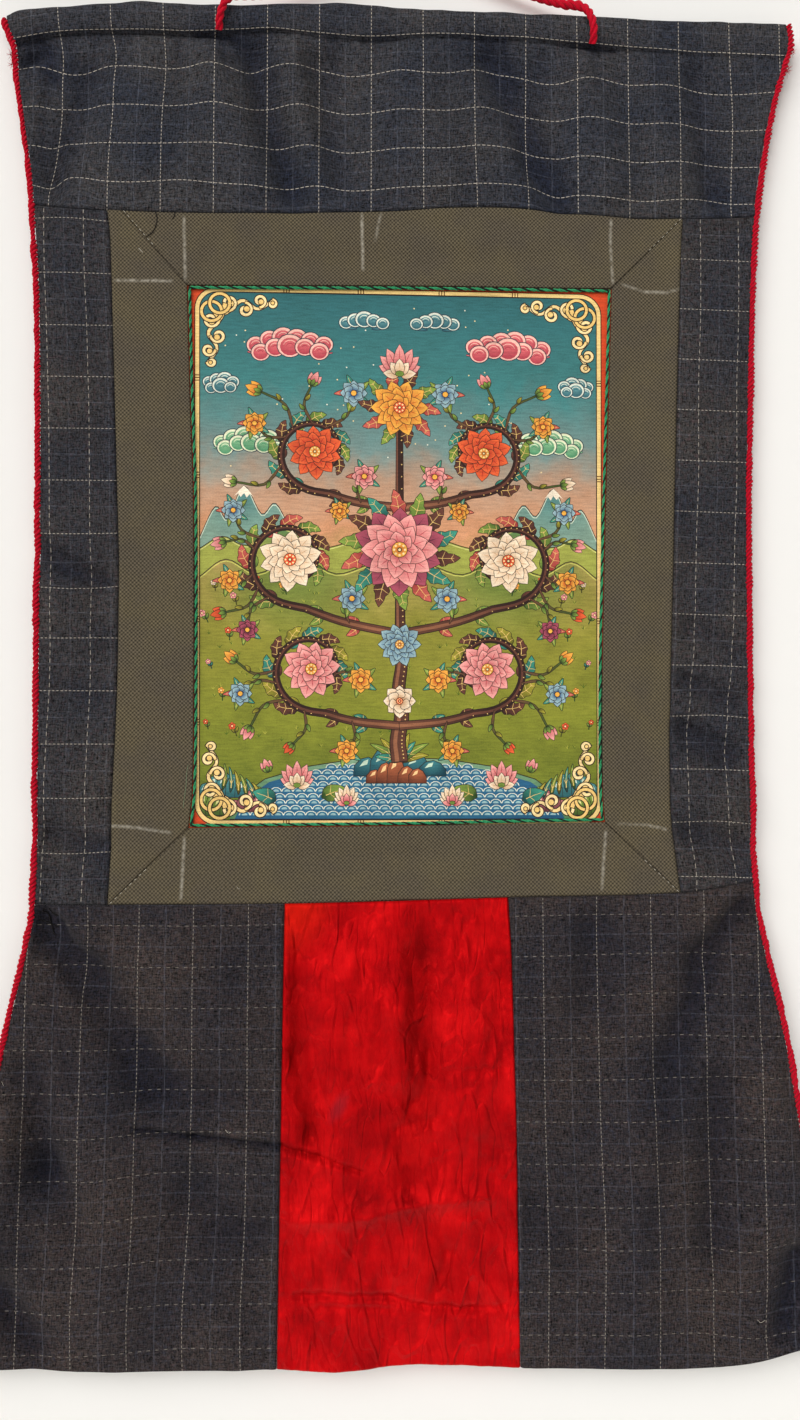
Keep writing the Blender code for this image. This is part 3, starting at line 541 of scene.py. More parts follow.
def hung_sheet(name, left, right, upper, lower, cell, relief, material, cloth_map, rolled):
    """A hanging panel that stands for the node of the same name. Rolled names its sewn edges."""
    mitred = {"mount_top": ("left", "right"), "mount_bottom": ("left", "right"),
              "mount_left": ("upper", "lower"), "mount_right": ("upper", "lower")}.get(name, ())
    hem = "lower" not in rolled
    tall = MITRED_TALL if "upper" in mitred else float(upper(0.0) - lower(0.0))
    middle = float(upper(0.0) + lower(0.0)) / 2
    wide = float(right(middle) - left(middle))
    x, z = place_grid(left, right, upper, lower, stations(wide, cell), stations(tall, cell))

    def middle_at(px, pz):
        gaps = {"left": px - left(pz), "right": right(pz) - px,
                "upper": upper(px) - pz, "lower": pz - lower(px)}
        rolls = (sewn_roll(*[np.maximum(gaps[edge], 0.0) for edge in rolled if edge not in mitred])
                 + sewn_roll(*[np.maximum(gaps[edge], 0.0) for edge in rolled if edge in mitred], dip=0.25))
        inside = step_up(np.minimum.reduce([gap for edge, gap in gaps.items() if not hem or edge != "lower"]),
                         0.0, 9.0)
        if hem:
            inside = inside * (0.3 + 0.7 * step_up(gaps["lower"], 0.0, 26.0))
        corded = [gap for edge, gap in gaps.items() if edge in ("left", "right") and edge not in rolled]
        held = step_up(np.minimum.reduce(corded), 0.0, 5.0) if corded else 1.0
        y = hang(px, pz) + relief(px, pz, inside) * held
        return np.where(y > WALL_NEAR, WALL_NEAR + WALL_GIVE * np.tanh((y - WALL_NEAR) / WALL_GIVE), y), rolls

    def front_at(px, pz):
        y, rolls = middle_at(px, pz)
        return y + rolls - CLOTH / 2

    gaps = [x - left(z), right(z) - x, upper(x) - z, z - lower(x)]
    middle_y, _ = middle_at(x, z)
    front = front_at(x, z)
    edge = np.minimum.reduce([np.maximum(gap, 0.0) for gap in gaps])
    rim_round = 0.30 * (1 - step_up(edge, 0.0, 0.7))
    back = np.maximum(middle_y + CLOTH / 2 + turned_back(*gaps) - rim_round, front + THINNEST + rim_round)
    front = front + rim_round
    sheet = closed_sheet(name + "_cloth", x, z, front, back, cloth_map, material)
    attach(sheet, "root")
    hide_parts(name)
    flat_area(x, z)
    faces_of[name] = front_at


# ---------------------------------------------------------------- where the weave runs
def pulled(pulls, x, z):
    """How far the weave is out of line, across and along."""
    across, along = np.zeros_like(x), np.zeros_like(x)
    for pull in pulls:
        share = np.exp(-((x - pull.x) ** 2 + (z - pull.z) ** 2) / pull.reach ** 2)
        across += pull.across * share
        along += pull.along * share
    return across, along


def band_map(x, z):
    """Cloth coordinates of the top band. Its first dash line runs along the heading's seam."""
    across, _ = pulled(BAND_PULLS, x, z)
    zero, one, four = heading_line(x), band_line_one(x), band_line_four(x)
    lines = np.where(z > one, (zero - z) / (zero - one), 1 + 3 * (one - z) / (one - four))
    lines = np.where(z > zero, (zero - z) / DASH_LINE_PITCH, lines)
    return (x - BAND_DOTS_FROM - across) / BAND_DOTS_STEP * DOT_LINE_PITCH, lines * DASH_LINE_PITCH


def lower_map(first_x, pitch_x, first_z):
    """Cloth coordinates of a lower panel whose dot and dash lines start at those places."""
    def cloth_map(x, z):
        across, along = pulled(LOWER_PULLS, x, z)
        wave = 0.5 * np.sin(x / 23.0) * np.sin(z / 61.0)
        return (x - first_x - across) / pitch_x * DOT_LINE_PITCH, first_z - z + along + wave
    return cloth_map


def side_map(side, first_x, first_z, pitch_z):
    """Cloth coordinates of a side strip, whose cloth is turned by a quarter."""
    lean = smooth(SIDE_LEAN, "z", side)

    def cloth_map(x, z):
        across, along = pulled(SIDE_PULLS, x, z)
        fall = SIDE_TILT[side] * (x - first_x)
        return (first_z - z - fall + along) / pitch_z * DOT_LINE_PITCH, x - first_x - across - lean(z)
    return cloth_map


def plain_map(x, z):
    """Cloth coordinates of plain cloth: the place itself."""
    return x, z


# ---------------------------------------------------------------- materials
DOT_PITCH = 2.3             # drawn coarser, because the real 1.7 mm is too fine to show
CHECK_HALF_WIDTH = 0.16     # of the check's lines
WEAVE_PITCH = 1.55          # of the mount's diagonals, which are really 1.35 mm apart
HOLLOW_SHADE_WOOL = (0.48, 0.52, 0.67)    # painted shade in the hollows of folds: darker and cooler
HOLLOW_SHADE_SATIN = (0.66, 0.60, 0.60)
AGED_PAINT = (1.05, 0.93, 0.80)     # smoke and age have warmed the distemper
BARE_CANVAS = "#8f8266"
UNSEEN = "#808080"                  # stands for the ground, where the paint's alpha is 0
GROUND = ((0.00, "#5f7226"), (0.20, "#7f8a30"), (0.36, "#8a8c38"), (0.46, "#a39a56"), (0.54, "#d09b78"),
          (0.62, "#b79a86"), (0.70, "#6f9094"), (0.82, "#3d7f86"), (1.00, "#2c6672"))


def linear(colour):
    """An sRGB hex colour as linear RGBA. One that is linear already stays as it is."""
    if isinstance(colour, tuple):
        return colour
    values = [int(colour[i:i + 2], 16) / 255 for i in (1, 3, 5)]
    return (*[v / 12.92 if v <= 0.04045 else ((v + 0.055) / 1.055) ** 2.4 for v in values], 1.0)


def adder(tree):
    """The function that adds a node to this tree."""
    def add(kind, links=None, out=0, stops=(), **settings):
        """Adds a node with its settings, links or sets its inputs, and returns one of its outputs. A kind
        with no Node in its name is a shader node. Stops are places and colours along a colour ramp."""
        node = tree.nodes.new(kind if "Node" in kind else "ShaderNode" + kind)
        for key, value in settings.items():
            setattr(node, key, value)
        for key, value in (links or {}).items():
            if isinstance(value, bpy.types.NodeSocket):
                tree.links.new(value, node.inputs[key])
            else:
                node.inputs[key].default_value = value
        if stops:
            marks = node.color_ramp.elements
            for mark, (place, colour) in zip(marks, (stops[0], stops[-1])):
                mark.position, mark.color = place, linear(colour)
            for place, colour in stops[1:-1]:
                marks.new(place).color = linear(colour)
        return node.outputs[out] if node.outputs else node
    return add


def new_material(name, **even):
    """A material and the function that adds its nodes. Even values are set on its shader's own sockets."""
    material = bpy.data.materials.new(name)
    material.use_nodes = True
    shader = material.node_tree.nodes["Principled BSDF"]
    for key, value in even.items():
        shader.inputs[key.replace("_", " ")].default_value = value
    return material, adder(material.node_tree)


def finished(material, add, colour, height, strength, depth):
    """The material with its colour and its relief, that many metres deep."""
    tree = material.node_tree
    shader = tree.nodes["Principled BSDF"]
    tree.links.new(colour, shader.inputs["Base Color"])
    bump = add("Bump", {"Strength": strength, "Distance": depth, "Height": height})
    tree.links.new(bump, shader.inputs["Normal"])
    return material


def shaded_in_hollows(add, colour, tint):
    """The colour with painted shade in the hollows of folds."""
    hollow_shade = add("Attribute", out="Fac", attribute_name="hollow_shade")
    tint = add("Mix", {"Factor": hollow_shade, 6: (1.0, 1.0, 1.0, 1.0), 7: (*tint, 1.0)}, 2, data_type="RGBA")
    return add("VectorMath", {0: colour, 1: tint}, operation="MULTIPLY")


def check_suiting(part, tints, depth, dot_strength, dash_pitch, dash_length, dash_strength):
    """Dark grey worsted with a windowpane check. Fine yarns of several greys make it flecked, and the check's
    pale yarns float over and under: dots along one way of the cloth and short dashes along the other."""
    material, add = new_material("check_suiting_" + part, Roughness=0.90, Specular_IOR_Level=0.12,
                                 Sheen_Weight=0.04, Sheen_Roughness=0.5)
    uv = add("UVMap", uv_map="cloth_mm")
    across, along = add("SeparateXYZ", {0: uv}).node.outputs[:2]

    # yarns: streaks along both ways of the cloth, and the flecks of its mixed wool
    warp, weft = [
        add("TexNoise", {"Vector": add("Mapping", {0: uv, "Scale": scale}), "Scale": 1.0, "Detail": 2.0,
                         "Roughness": 0.7})
        for scale in ((1.25, 0.20, 1.0), (0.22, 1.20, 1.0))]
    fleck = add("TexNoise", {"Vector": uv, "Scale": 1.0, "Detail": 1.5, "Roughness": 0.8})
    drift = add("TexNoise", {"Vector": uv, "Scale": 0.45, "Detail": 3.0, "Roughness": 0.75})
    yarns = add("Math", {0: warp, 1: weft}, operation="ADD")
    yarns = add("Math", {0: yarns, 1: fleck}, operation="ADD")
    shade = add("MapRange", {"Value": yarns, "From Min": 1.17, "From Max": 1.83, "To Min": 0.0,
                             "To Max": 2.24 * depth})
    tint = add("ValToRGB", {"Fac": drift}, stops=tuple(zip((0.36, 0.50, 0.64), tints)))
    cloth = add("VectorMath", {0: tint, 3: shade}, operation="SCALE")
    # painted shade and light: broad random patches, cooler and darker or browner and paler, standing in for
    # the soft bands of the folds
    fold_band_shade = add("TexNoise", {"Vector": uv, "Scale": 0.016, "Detail": 2.0, "Roughness": 0.5})
    fold_band_shade = add("ValToRGB", {"Fac": fold_band_shade}, stops=((0.36, (0.72, 0.76, 0.92, 1.0)),
                                                 (0.62, (1.22, 1.12, 1.07, 1.0))))
    cloth = add("VectorMath", {0: cloth, 1: fold_band_shade}, operation="MULTIPLY")
    cloth = shaded_in_hollows(add, cloth, HOLLOW_SHADE_WOOL)

    # the check's lines: distance to the nearest line, and the yarn's floats along it
    lines = []
    for place, other, pitch, float_pitch, float_length, gap_share, strength in (
            (across, along, DOT_LINE_PITCH, DOT_PITCH, DOT_PITCH / 2, 0.12, dot_strength),
            (along, across, DASH_LINE_PITCH, dash_pitch, dash_length, 0.06, dash_strength)):
        away = add("Math", {0: place, 1: pitch / 2}, operation="PINGPONG")
        line = add("MapRange", {"Value": away, "From Min": CHECK_HALF_WIDTH * 0.8,
                                "From Max": CHECK_HALF_WIDTH * 1.5, "To Min": strength, "To Max": 0.0})
        away = add("Math", {0: other, 1: float_pitch / 2}, operation="PINGPONG")
        shown = add("MapRange", {"Value": away, "From Min": float_length * 0.42,
                                 "From Max": float_length * 0.58, "To Min": 1.0, "To Max": gap_share})
        lines.append(add("Math", {0: line, 1: shown}, operation="MULTIPLY"))
    strong = add("Math", {0: lines[0], 1: lines[1]}, operation="MAXIMUM")
    uneven = add("MapRange",
                 {"Value": fleck, "From Min": 0.3, "From Max": 0.6, "To Min": 0.45, "To Max": 1.0})
    strong = add("Math", {0: strong, 1: uneven}, operation="MULTIPLY")
    pale_yarn = add("Mix", {"Factor": drift, 6: linear("#c9c4b8"), 7: linear("#b8a898")}, 2, data_type="RGBA")
    colour = add("Mix", {"Factor": strong, 6: cloth, 7: pale_yarn}, 2, data_type="RGBA")

    # faint lines midway, broken where their yarn dives under
    faint = []
    for place, pitch, share in ((across, DOT_LINE_PITCH, 0.10), (along, DASH_LINE_PITCH, 0.08)):
        moved = add("Math", {0: place, 1: pitch / 2}, operation="ADD")
        away = add("Math", {0: moved, 1: pitch / 2}, operation="PINGPONG")
        faint.append(add("MapRange", {"Value": away, "From Min": 0.22, "From Max": 0.50, "To Min": share,
                                      "To Max": 0.0}))
    faint = add("Math", {0: faint[0], 1: faint[1]}, operation="MAXIMUM")
    broken = add("MapRange", {"Value": warp, "From Min": 0.35, "From Max": 0.62, "To Min": 0.25,
                              "To Max": 1.0})
    faint = add("Math", {0: faint, 1: broken}, operation="MULTIPLY")
    colour = add("Mix", {"Factor": faint, 6: colour, 7: linear("#9094a4")}, 2, data_type="RGBA")

    # relief of the yarns, drawn at about 0.9 mm because the real 0.45 mm is too fine to show
    relief = add("Math", {0: yarns, 1: strong}, operation="ADD")
    return finished(material, add, colour, relief, 0.30, 0.0003)


def red_satin():
    """Thin red lining satin: long floats down the cloth give it a soft stretched gleam and fine streaks."""
    material, add = new_material("red_satin", Roughness=0.50, Metallic=0.14, Specular_IOR_Level=0.5,
                                 Specular_Tint=linear("#ff2a20"), Anisotropic=0.5)
    uv = add("UVMap", uv_map="cloth_mm")
    place = add("Mapping", {0: uv, "Scale": (0.8, 0.22, 1.0)})
    streaks = add("TexNoise", {"Vector": place, "Scale": 1.0, "Detail": 3.0, "Roughness": 0.65})
    blotch = add("TexNoise", {"Vector": uv, "Scale": 0.03, "Detail": 5.0, "Roughness": 0.6})
    mix = add("Math", {0: streaks, 1: 0.25}, operation="MULTIPLY")
    mix = add("Math", {0: blotch, 1: 1.15, 2: mix}, operation="MULTIPLY_ADD")
    colour = add("ValToRGB", {"Fac": mix}, stops=((0.50, "#8e060c"), (0.70, "#b0080e"), (0.90, "#cc0f13")))
    colour = shaded_in_hollows(add, colour, HOLLOW_SHADE_SATIN)
    # painted highlights: small bright glints where the floats would catch the light
    painted_glint = add("TexNoise", {"Vector": uv, "Scale": 1.1, "Detail": 2.0, "Roughness": 0.8})
    painted_glint = add("MapRange", {"Value": painted_glint, "From Min": 0.62, "From Max": 0.74, "To Max": 0.32})
    colour = add("Mix", {"Factor": painted_glint, 6: colour, 7: linear("#f0453a")}, 2, data_type="RGBA")
    # a paler orange upper corner, which is painted light, and a small dull smudge
    for x, z, wide, tall, turn, most, tint in ((-62.0, -514.0, 34.0, 40.0, 0.0, 0.42, "#e8240e"),
                                               (-32.5, -627.0, 5.5, 13.0, -0.5, 0.42, "#64202c")):
        near = add("Mapping", {0: uv, "Location": (x, z, 0.0), "Rotation": (0.0, 0.0, turn),
                               "Scale": (wide, tall, 1.0)}, vector_type="TEXTURE")
        near = add("VectorMath", {0: near}, "Value", operation="LENGTH")
        share = add("MapRange", {"Value": near, "From Min": 0.2, "From Max": 1.0, "To Min": most,
                                 "To Max": 0.0}, interpolation_type="SMOOTHSTEP")
        colour = add("Mix", {"Factor": share, 6: colour, 7: linear(tint)}, 2, data_type="RGBA")
    # soft crinkles, and thin sharp creases: where a stretched noise passes its middle value the cloth turns
    place = add("Mapping", {0: uv, "Scale": (0.30, 0.16, 1.0)})
    crinkle = add("TexNoise", {"Vector": place, "Scale": 1.0, "Detail": 5.0, "Roughness": 0.62,
                               "Distortion": 0.6})
    height = add("Math", {0: crinkle, 1: 0.22}, operation="MULTIPLY")
    for scale, turn, sharp in (((0.060, 0.022, 1.0), 0.25, -1.0), ((0.11, 0.036, 1.0), -0.35, 0.45)):
        place = add("Mapping", {0: uv, "Scale": scale, "Rotation": (0.0, 0.0, turn)})
        crease = add("TexNoise", {"Vector": place, "Scale": 1.0, "Detail": 1.5, "Roughness": 0.5,
                                  "Distortion": 0.3})
        crease = add("Math", {0: crease, 1: 0.5}, operation="SUBTRACT")
        crease = add("Math", {0: crease}, operation="ABSOLUTE")
        crease = add("MapRange", {"Value": crease, "From Max": 0.05, "To Max": sharp})
        height = add("Math", {0: height, 1: crease}, operation="ADD")
    fine = add("Math", {0: streaks, 1: 0.06}, operation="MULTIPLY")
    height = add("Math", {0: height, 1: fine}, operation="ADD")
    return finished(material, add, colour, height, 0.8, 0.0009)


def chalk_mark(add, mark, x, z):
    """How strongly one mark shows at a place: across it, and fading at its two ends."""
    upright = abs(mark.z1 - mark.z0) > abs(mark.x1 - mark.x0)
    along, across = (z, x) if upright else (x, z)
    start, end = (mark.z0, mark.z1) if upright else (mark.x0, mark.x1)
    side, side_end = (mark.x0, mark.x1) if upright else (mark.z0, mark.z1)
    slope = (side_end - side) / (end - start)
    line = add("Math", {0: along, 1: slope, 2: side - slope * start}, operation="MULTIPLY_ADD")
    away = add("Math", {0: across, 1: line}, operation="SUBTRACT")
    away = add("Math", {0: away}, operation="ABSOLUTE")
    band = add("MapRange", {"Value": away, "From Min": CHALK_HALF_WIDTH * 0.2,
                            "From Max": CHALK_HALF_WIDTH * 1.7, "To Min": mark.strength, "To Max": 0.0})
    away = add("Math", {0: along, 1: (start + end) / 2}, operation="SUBTRACT")
    away = add("Math", {0: away}, operation="ABSOLUTE")
    half = abs(end - start) / 2
    inside = add("MapRange", {"Value": away, "From Min": half - 3.0, "From Max": half, "To Min": 1.0,
                              "To Max": 0.0})
    return add("Math", {0: band, 1: inside}, operation="MULTIPLY")


def olive_mount_cloth():
    """Matt olive-brown cotton in a small hopsack weave, so fine diagonals cross it both ways. Tailor's chalk
    marks for the opening's lines are still on it."""
    material, add = new_material("olive_mount_cloth", Roughness=0.92, Specular_IOR_Level=0.15)
    uv = add("UVMap", uv_map="cloth_mm")
    x, z = add("SeparateXYZ", {0: uv}).node.outputs[:2]
    weave = []
    for operation in ("ADD", "SUBTRACT"):
        slant = add("Math", {0: x, 1: z}, operation=operation)
        slant = add("Math", {0: slant, 1: 0.7071}, operation="MULTIPLY")
        weave.append(add("Math", {0: slant, 1: WEAVE_PITCH / 2}, operation="PINGPONG"))
    crossing = add("Math", {0: weave[0], 1: weave[1]}, operation="ADD")
    slub = add("TexNoise", {"Vector": uv, "Scale": 0.8, "Detail": 2.0, "Roughness": 0.75})
    drift = add("TexNoise", {"Vector": uv, "Scale": 0.035, "Detail": 3.0, "Roughness": 0.6})
    lift = add("Math", {0: crossing, 1: slub}, operation="ADD")
    shade = add("MapRange", {"Value": lift, "From Min": 0.7, "From Max": 2.0, "To Min": 0.24, "To Max": 1.66})
    tint = add("ValToRGB", {"Fac": drift}, stops=((0.35, "#554d40"), (0.65, "#5c5340")))
    colour = add("VectorMath", {0: tint, 3: shade}, operation="SCALE")
    chalk = chalk_mark(add, CHALK[0], x, z)
    for mark in CHALK[1:]:
        chalk = add("Math", {0: chalk, 1: chalk_mark(add, mark, x, z)}, operation="MAXIMUM")
    ragged = add("TexNoise", {"Vector": uv, "Scale": 0.35, "Detail": 3.0, "Roughness": 0.7})
    dusty = add("MapRange", {"Value": ragged, "From Min": 0.36, "From Max": 0.62, "To Min": 0.06,
                             "To Max": 0.50})
    chalk = add("Math", {0: chalk, 1: dusty}, operation="MULTIPLY")
    colour = add("Mix", {"Factor": chalk, 6: colour, 7: linear("#cfc8b8")}, 2, data_type="RGBA")
    return finished(material, add, colour, lift, 0.4, 0.0003)


def painted_canvas():
    """Primed cotton painted with matt distemper: the ground of the picture runs from a deep blue-green down
    through a pale dusk band to a mossy green in thin uneven washes, with the shapes thickly over it."""
    material, add = new_material("painted_canvas", Roughness=0.74, Specular_IOR_Level=0.22)
    uv = add("UVMap", uv_map="cloth_mm")
    wash = add("TexNoise", {"Vector": uv, "Scale": 0.045, "Detail": 5.0, "Roughness": 0.6})
    place = add("Mapping", {0: uv, "Scale": (0.12, 0.9, 1.0)})
    brush = add("TexNoise", {"Vector": place, "Scale": 1.0, "Detail": 3.0})
    height = add("SeparateXYZ", {0: uv}, 1)
    height = add("MapRange", {"Value": height, "From Min": -474.0, "From Max": -166.0, "To Min": 0.0,
                              "To Max": 1.0})
    waver = add("Math", {0: wash, 1: 0.16, 2: -0.08}, operation="MULTIPLY_ADD")
    level = add("Math", {0: height, 1: waver}, operation="ADD")
    ground = add("ValToRGB", {"Fac": level}, stops=GROUND)
    paint = add("Attribute", attribute_name="paint").node.outputs
    colour = add("Mix", {"Factor": paint["Alpha"], 6: ground, 7: paint["Color"]}, 2, data_type="RGBA")
    # cotton's weave and the paint's grain, drawn at 0.8 mm because the real 0.4 mm is too fine to show
    grain = add("TexNoise", {"Vector": uv, "Scale": 1.2, "Detail": 2.0, "Roughness": 0.7})
    shade = add("Math", {0: wash, 1: brush}, operation="ADD")
    shade = add("Math", {0: grain, 1: 0.9, 2: shade}, operation="MULTIPLY_ADD")
    shade = add("MapRange", {"Value": shade, "From Min": 1.05, "From Max": 1.85, "To Min": 0.66,
                             "To Max": 1.24})
    colour = add("VectorMath", {0: colour, 3: shade}, operation="SCALE")
    colour = add("VectorMath", {0: colour, 1: AGED_PAINT}, operation="MULTIPLY")
    return finished(material, add, colour, grain, 0.25, 0.0003)


def yarn(name, dark, light, grain, roughness=0.9, odd_ply=None):
    """Twisted soft yarn: short fibres make it look velvety, and its colour varies from ply to ply."""
    material, add = new_material(name, Roughness=roughness, Specular_IOR_Level=0.12, Sheen_Weight=0.06)
    place = add("TexCoord", out="Object")
    fibres = add("TexNoise", {"Vector": place, "Scale": grain, "Detail": 3.0, "Roughness": 0.7})
    colour = add("ValToRGB", {"Fac": fibres}, stops=((0.32, dark), (0.68, light)))
    if odd_ply:
        ply = add("Attribute", out="Fac", attribute_name="ply")
        odd = add("Math", {0: ply, 1: 0.5}, operation="LESS_THAN")
        colour = add("Mix", {"Factor": odd, 6: colour, 7: linear(odd_ply)}, 2, data_type="RGBA")
    return finished(material, add, colour, fibres, 0.5, 0.0005)


# ---------------------------------------------------------------- the painted design
# A flowering tree of our own: blossoms in scrolling boughs over a pond and hills, with banks of cloud above.
# Shapes are in millimetres from the middle of the picture, in painting order.
PICTURE_MIDDLE = (0.95, -320.0)
PICTURE_SPREAD = 0.00008          # the stretched canvas is this much wider for each millimetre up
PICTURE_HALF, PICTURE_TOP, PICTURE_FOOT = 114.2, 151.3, -152.0     # the middle of the gold line round it
BEYOND = [(-140, -170), (140, -170), (140, 170), (-140, 170)]      # a sheet larger than the picture
GOLD_LINE = 2.2
CORNER_CUT = 11.0
SCROLL_SCALE = 1.16
INK, GOLD, PALE_GOLD, CLOUD_INK = "#2a1d19", "#e9cb82", "#f4e2ae", "#25384a"
PUFF_SQUASH = 0.92
ROCK_FACETS = 5
BOUGH_WIDTH, BOUGH_CURL = 4.4, 0.52
BARK, BARK_SHADE = "#6a4436", "#2e1c19"
VERMILION, TIE = ("#bd3a1c", "#cf4c26"), "#6b4a22"
PETALS = {
    "rose": ("#b03045", "#f0aeb0"), "scarlet": ("#a81f1c", "#e6693c"), "white": ("#c9a27c", "#f3ead8"),
    "blue": ("#1f4f86", "#9cc3d2"), "orange": ("#b8481c", "#efb650"), "plum": ("#4d2033", "#a8516a")}
LEAVES = {
    "teal": ("#123f43", "#3f9c8c"), "green": ("#24451f", "#86a84c"), "brown": ("#241614", "#6b4238"),
    "red": ("#7c1d22", "#cf6a62"), "olive": ("#3f4216", "#a8a63c")}
shapes = []
brush_draws = random.Random(41)


def shape(outline, inner, outer=None, centre=None, near=0.0, far=1.0, line=None, line_width=0.42):
    """Adds a filled outline over its ink, shaded from one colour to another away from a centre."""
    outline = np.asarray(outline, float)
    after, before = np.roll(outline, -1, 0), np.roll(outline, 1, 0)
    turning = float((outline[:, 0] * after[:, 1] - after[:, 0] * outline[:, 1]).sum())
    if turning < 0:
        outline, after, before = outline[::-1], before[::-1], after[::-1]
    if line:
        along = after - before
        along /= np.maximum(np.hypot(along[:, 0], along[:, 1]), 1e-6)[:, None]
        ring = outline + np.stack([along[:, 1], -along[:, 0]], -1) * line_width
        shapes.append(Shape(ring, line, line, (0.0, 0.0), 0.0, 1.0))
    centre = tuple(outline.mean(0)) if centre is None else centre
    shapes.append(Shape(outline, inner, outer or inner, centre, near, far))


def around(x, q, radius, count, squash=1.0):
    """A circle or ellipse's outline."""
    a = np.arange(count) * math.tau / count
    return np.stack([x + radius * np.cos(a), q + radius * squash * np.sin(a)], -1)


def brushed(path, widths):
    """The outline of a stroke along a path, as wide at each of its points as given."""
    path = np.asarray(path, float)
    along = np.gradient(path, axis=0)
    along /= np.maximum(np.hypot(along[:, 0], along[:, 1]), 1e-6)[:, None]
    side = np.stack([-along[:, 1], along[:, 0]], -1) * (np.asarray(widths, float) / 2)[:, None]
    return np.concatenate([path + side, (path - side)[::-1]])


def bowed(x, q, angle, length, bend, count):
    """A path that starts at a point at an angle and bends evenly."""
    t = np.linspace(0.0, 1.0, count)
    turn = angle + bend * t
    step = length / (count - 1)
    path = np.cumsum(np.stack([np.cos(turn), np.sin(turn)], -1) * step, 0)
    return path - path[0] + (x, q)


def curl(x, q, start, end, radius, last_radius, count):
    """A spiral about a point."""
    a = np.linspace(start, end, count)
    r = radius + (last_radius - radius) * np.linspace(0.0, 1.0, count) ** 0.8
    return np.stack([x + r * np.cos(a), q + r * np.sin(a)], -1)


def tapered(count, first, last, swell=0.0):
    """Widths that run evenly from the first to the last, with a swell between."""
    t = np.linspace(0.0, 1.0, count)
    return first + (last - first) * t + swell * np.sin(math.pi * t)


def stroke(path, widths, colour, outer=None, line=None, line_width=0.4):
    """Adds a brush stroke, shaded along its length."""
    path = np.asarray(path, float)
    span = max(1.0, float(np.hypot(*(path[-1] - path[0]))))
    shape(brushed(path, widths), colour, outer, tuple(path[0]), 0.0, span, line, line_width)


def petal(x, q, angle, length, width, colours, blunt, streak=True, count=6):
    """One petal: dark at its root, pale at its tip, with a stroke of light down it."""
    t = np.linspace(0.0, 1.0, count)
    half = width / 2 * np.sin(math.pi * t ** blunt) ** 0.75
    half[0], half[-1] = width * 0.05, 0.0
    c, s = math.cos(angle), math.sin(angle)
    along = np.concatenate([t * length, (t * length)[-2:0:-1]])
    across = np.concatenate([half, -half[-2:0:-1]])
    outline = np.stack([x + along * c - across * s, q + along * s + across * c], -1)
    shape(outline, colours[0], colours[1], (x, q), length * 0.12, length * 0.95, INK, 0.34)
    if streak and length > 6.5:
        rib = bowed(x + 0.4 * length * c, q + 0.4 * length * s, angle, length * 0.45, 0.0, 3)
        shape(brushed(rib, (0.2, 0.4, 0.05)), colours[0])


def blossom(x, q, radius, hue, core, rings, turn=0.0):
    """A full blossom from above, its rings of petals smaller and darker towards the heart."""
    for ring in range(rings):
        count = ((10, 9, 7, 6) if radius > 9 else (8, 6, 5, 5))[ring]
        for k in range(count):
            angle = turn + (k + 0.5 * (ring % 2)) * math.tau / count
            reach = radius * (1.0 - 0.27 * ring) * (1 + 0.05 * math.sin(3 * angle + ring))
            root = reach * 0.22
            petal(x + root * math.cos(angle), q + root * math.sin(angle), angle, reach * 0.80,
                  reach * math.tau / count * 0.92, PETALS[hue], 0.72)
    heart = radius * 0.20
    shape(around(x, q, heart, 12), *PETALS[core], (x, q), 0.0, heart, INK, 0.35)
    if radius > 8:
        for k in range(8):
            angle = k * math.tau / 8
            bead = x + heart * 0.72 * math.cos(angle), q + heart * 0.72 * math.sin(angle)
            shape(around(*bead, heart * 0.17, 6), PALE_GOLD)
        shape(around(x, q, heart * 0.32, 8), INK)
        shape(around(x, q, heart * 0.2, 6), PALE_GOLD)


def lotus(x, q, size, hue, core="white"):
    """A lotus from the side: petals fan up from a cup, back ones first."""
    for angle, share in ((0.35, 0.78), (2.79, 0.78), (0.75, 0.95), (2.39, 0.95), (1.12, 1.05), (2.02, 1.05),
                         (1.571, 1.12)):
        petal(x + 0.05 * size * math.cos(angle), q, angle, size * share, size * 0.44, PETALS[hue], 0.78)
    for angle, share in ((0.1, 0.62), (3.04, 0.62), (0.95, 0.58), (2.19, 0.58), (1.571, 0.62)):
        petal(x, q - 0.06 * size, angle, size * share, size * 0.36, PETALS[core], 0.78)
    shape(around(x, q - 0.02 * size, size * 0.16, 8, 0.7), *LEAVES["green"], None, 0.0, size * 0.2, INK, 0.3)


def leaf(x, q, angle, length, width, hue, bend=0.0, lobes=0, vein=GOLD):
    """A leaf along a bowed rib, plain or cut into lobes, darker on one side, its veins drawn in gold."""
    count = 7 if not lobes else 3 * lobes + 3
    rib = bowed(x, q, angle, length, bend, count)
    t = np.linspace(0.0, 1.0, count)
    half = width * np.sin(math.pi * t ** 0.72) ** 0.85
    if lobes:
        half = half * (0.66 + 0.40 * np.abs(np.sin(math.pi * lobes * t)))
    dark, light = LEAVES[hue]
    shape(brushed(rib, half), dark, light, tuple(rib[0]), length * 0.1, length * 0.95, INK, 0.36)
    along = np.gradient(rib, axis=0)
    along /= np.hypot(along[:, 0], along[:, 1])[:, None]
    side = np.stack([-along[:, 1], along[:, 0]], -1) * (half * 0.5 * 0.78)[:, None]
    shape(np.concatenate([rib, (rib + side)[::-1]])[1:-1], light, dark, tuple(rib[-1]), 0.0, length * 1.25)
    if vein:
        shape(brushed(rib[1:-1:2], tapered(len(rib[1:-1:2]), 0.42, 0.16)), vein)
        for k in range(2, count - 2, 3):
            for way in (1, -1):
                tip = rib[min(k + 1, count - 1)] + way * side[k] * 1.35
                shape(brushed([rib[k], (rib[k] + tip) / 2 + along[k] * 0.15, tip], (0.26, 0.24, 0.08)), vein)


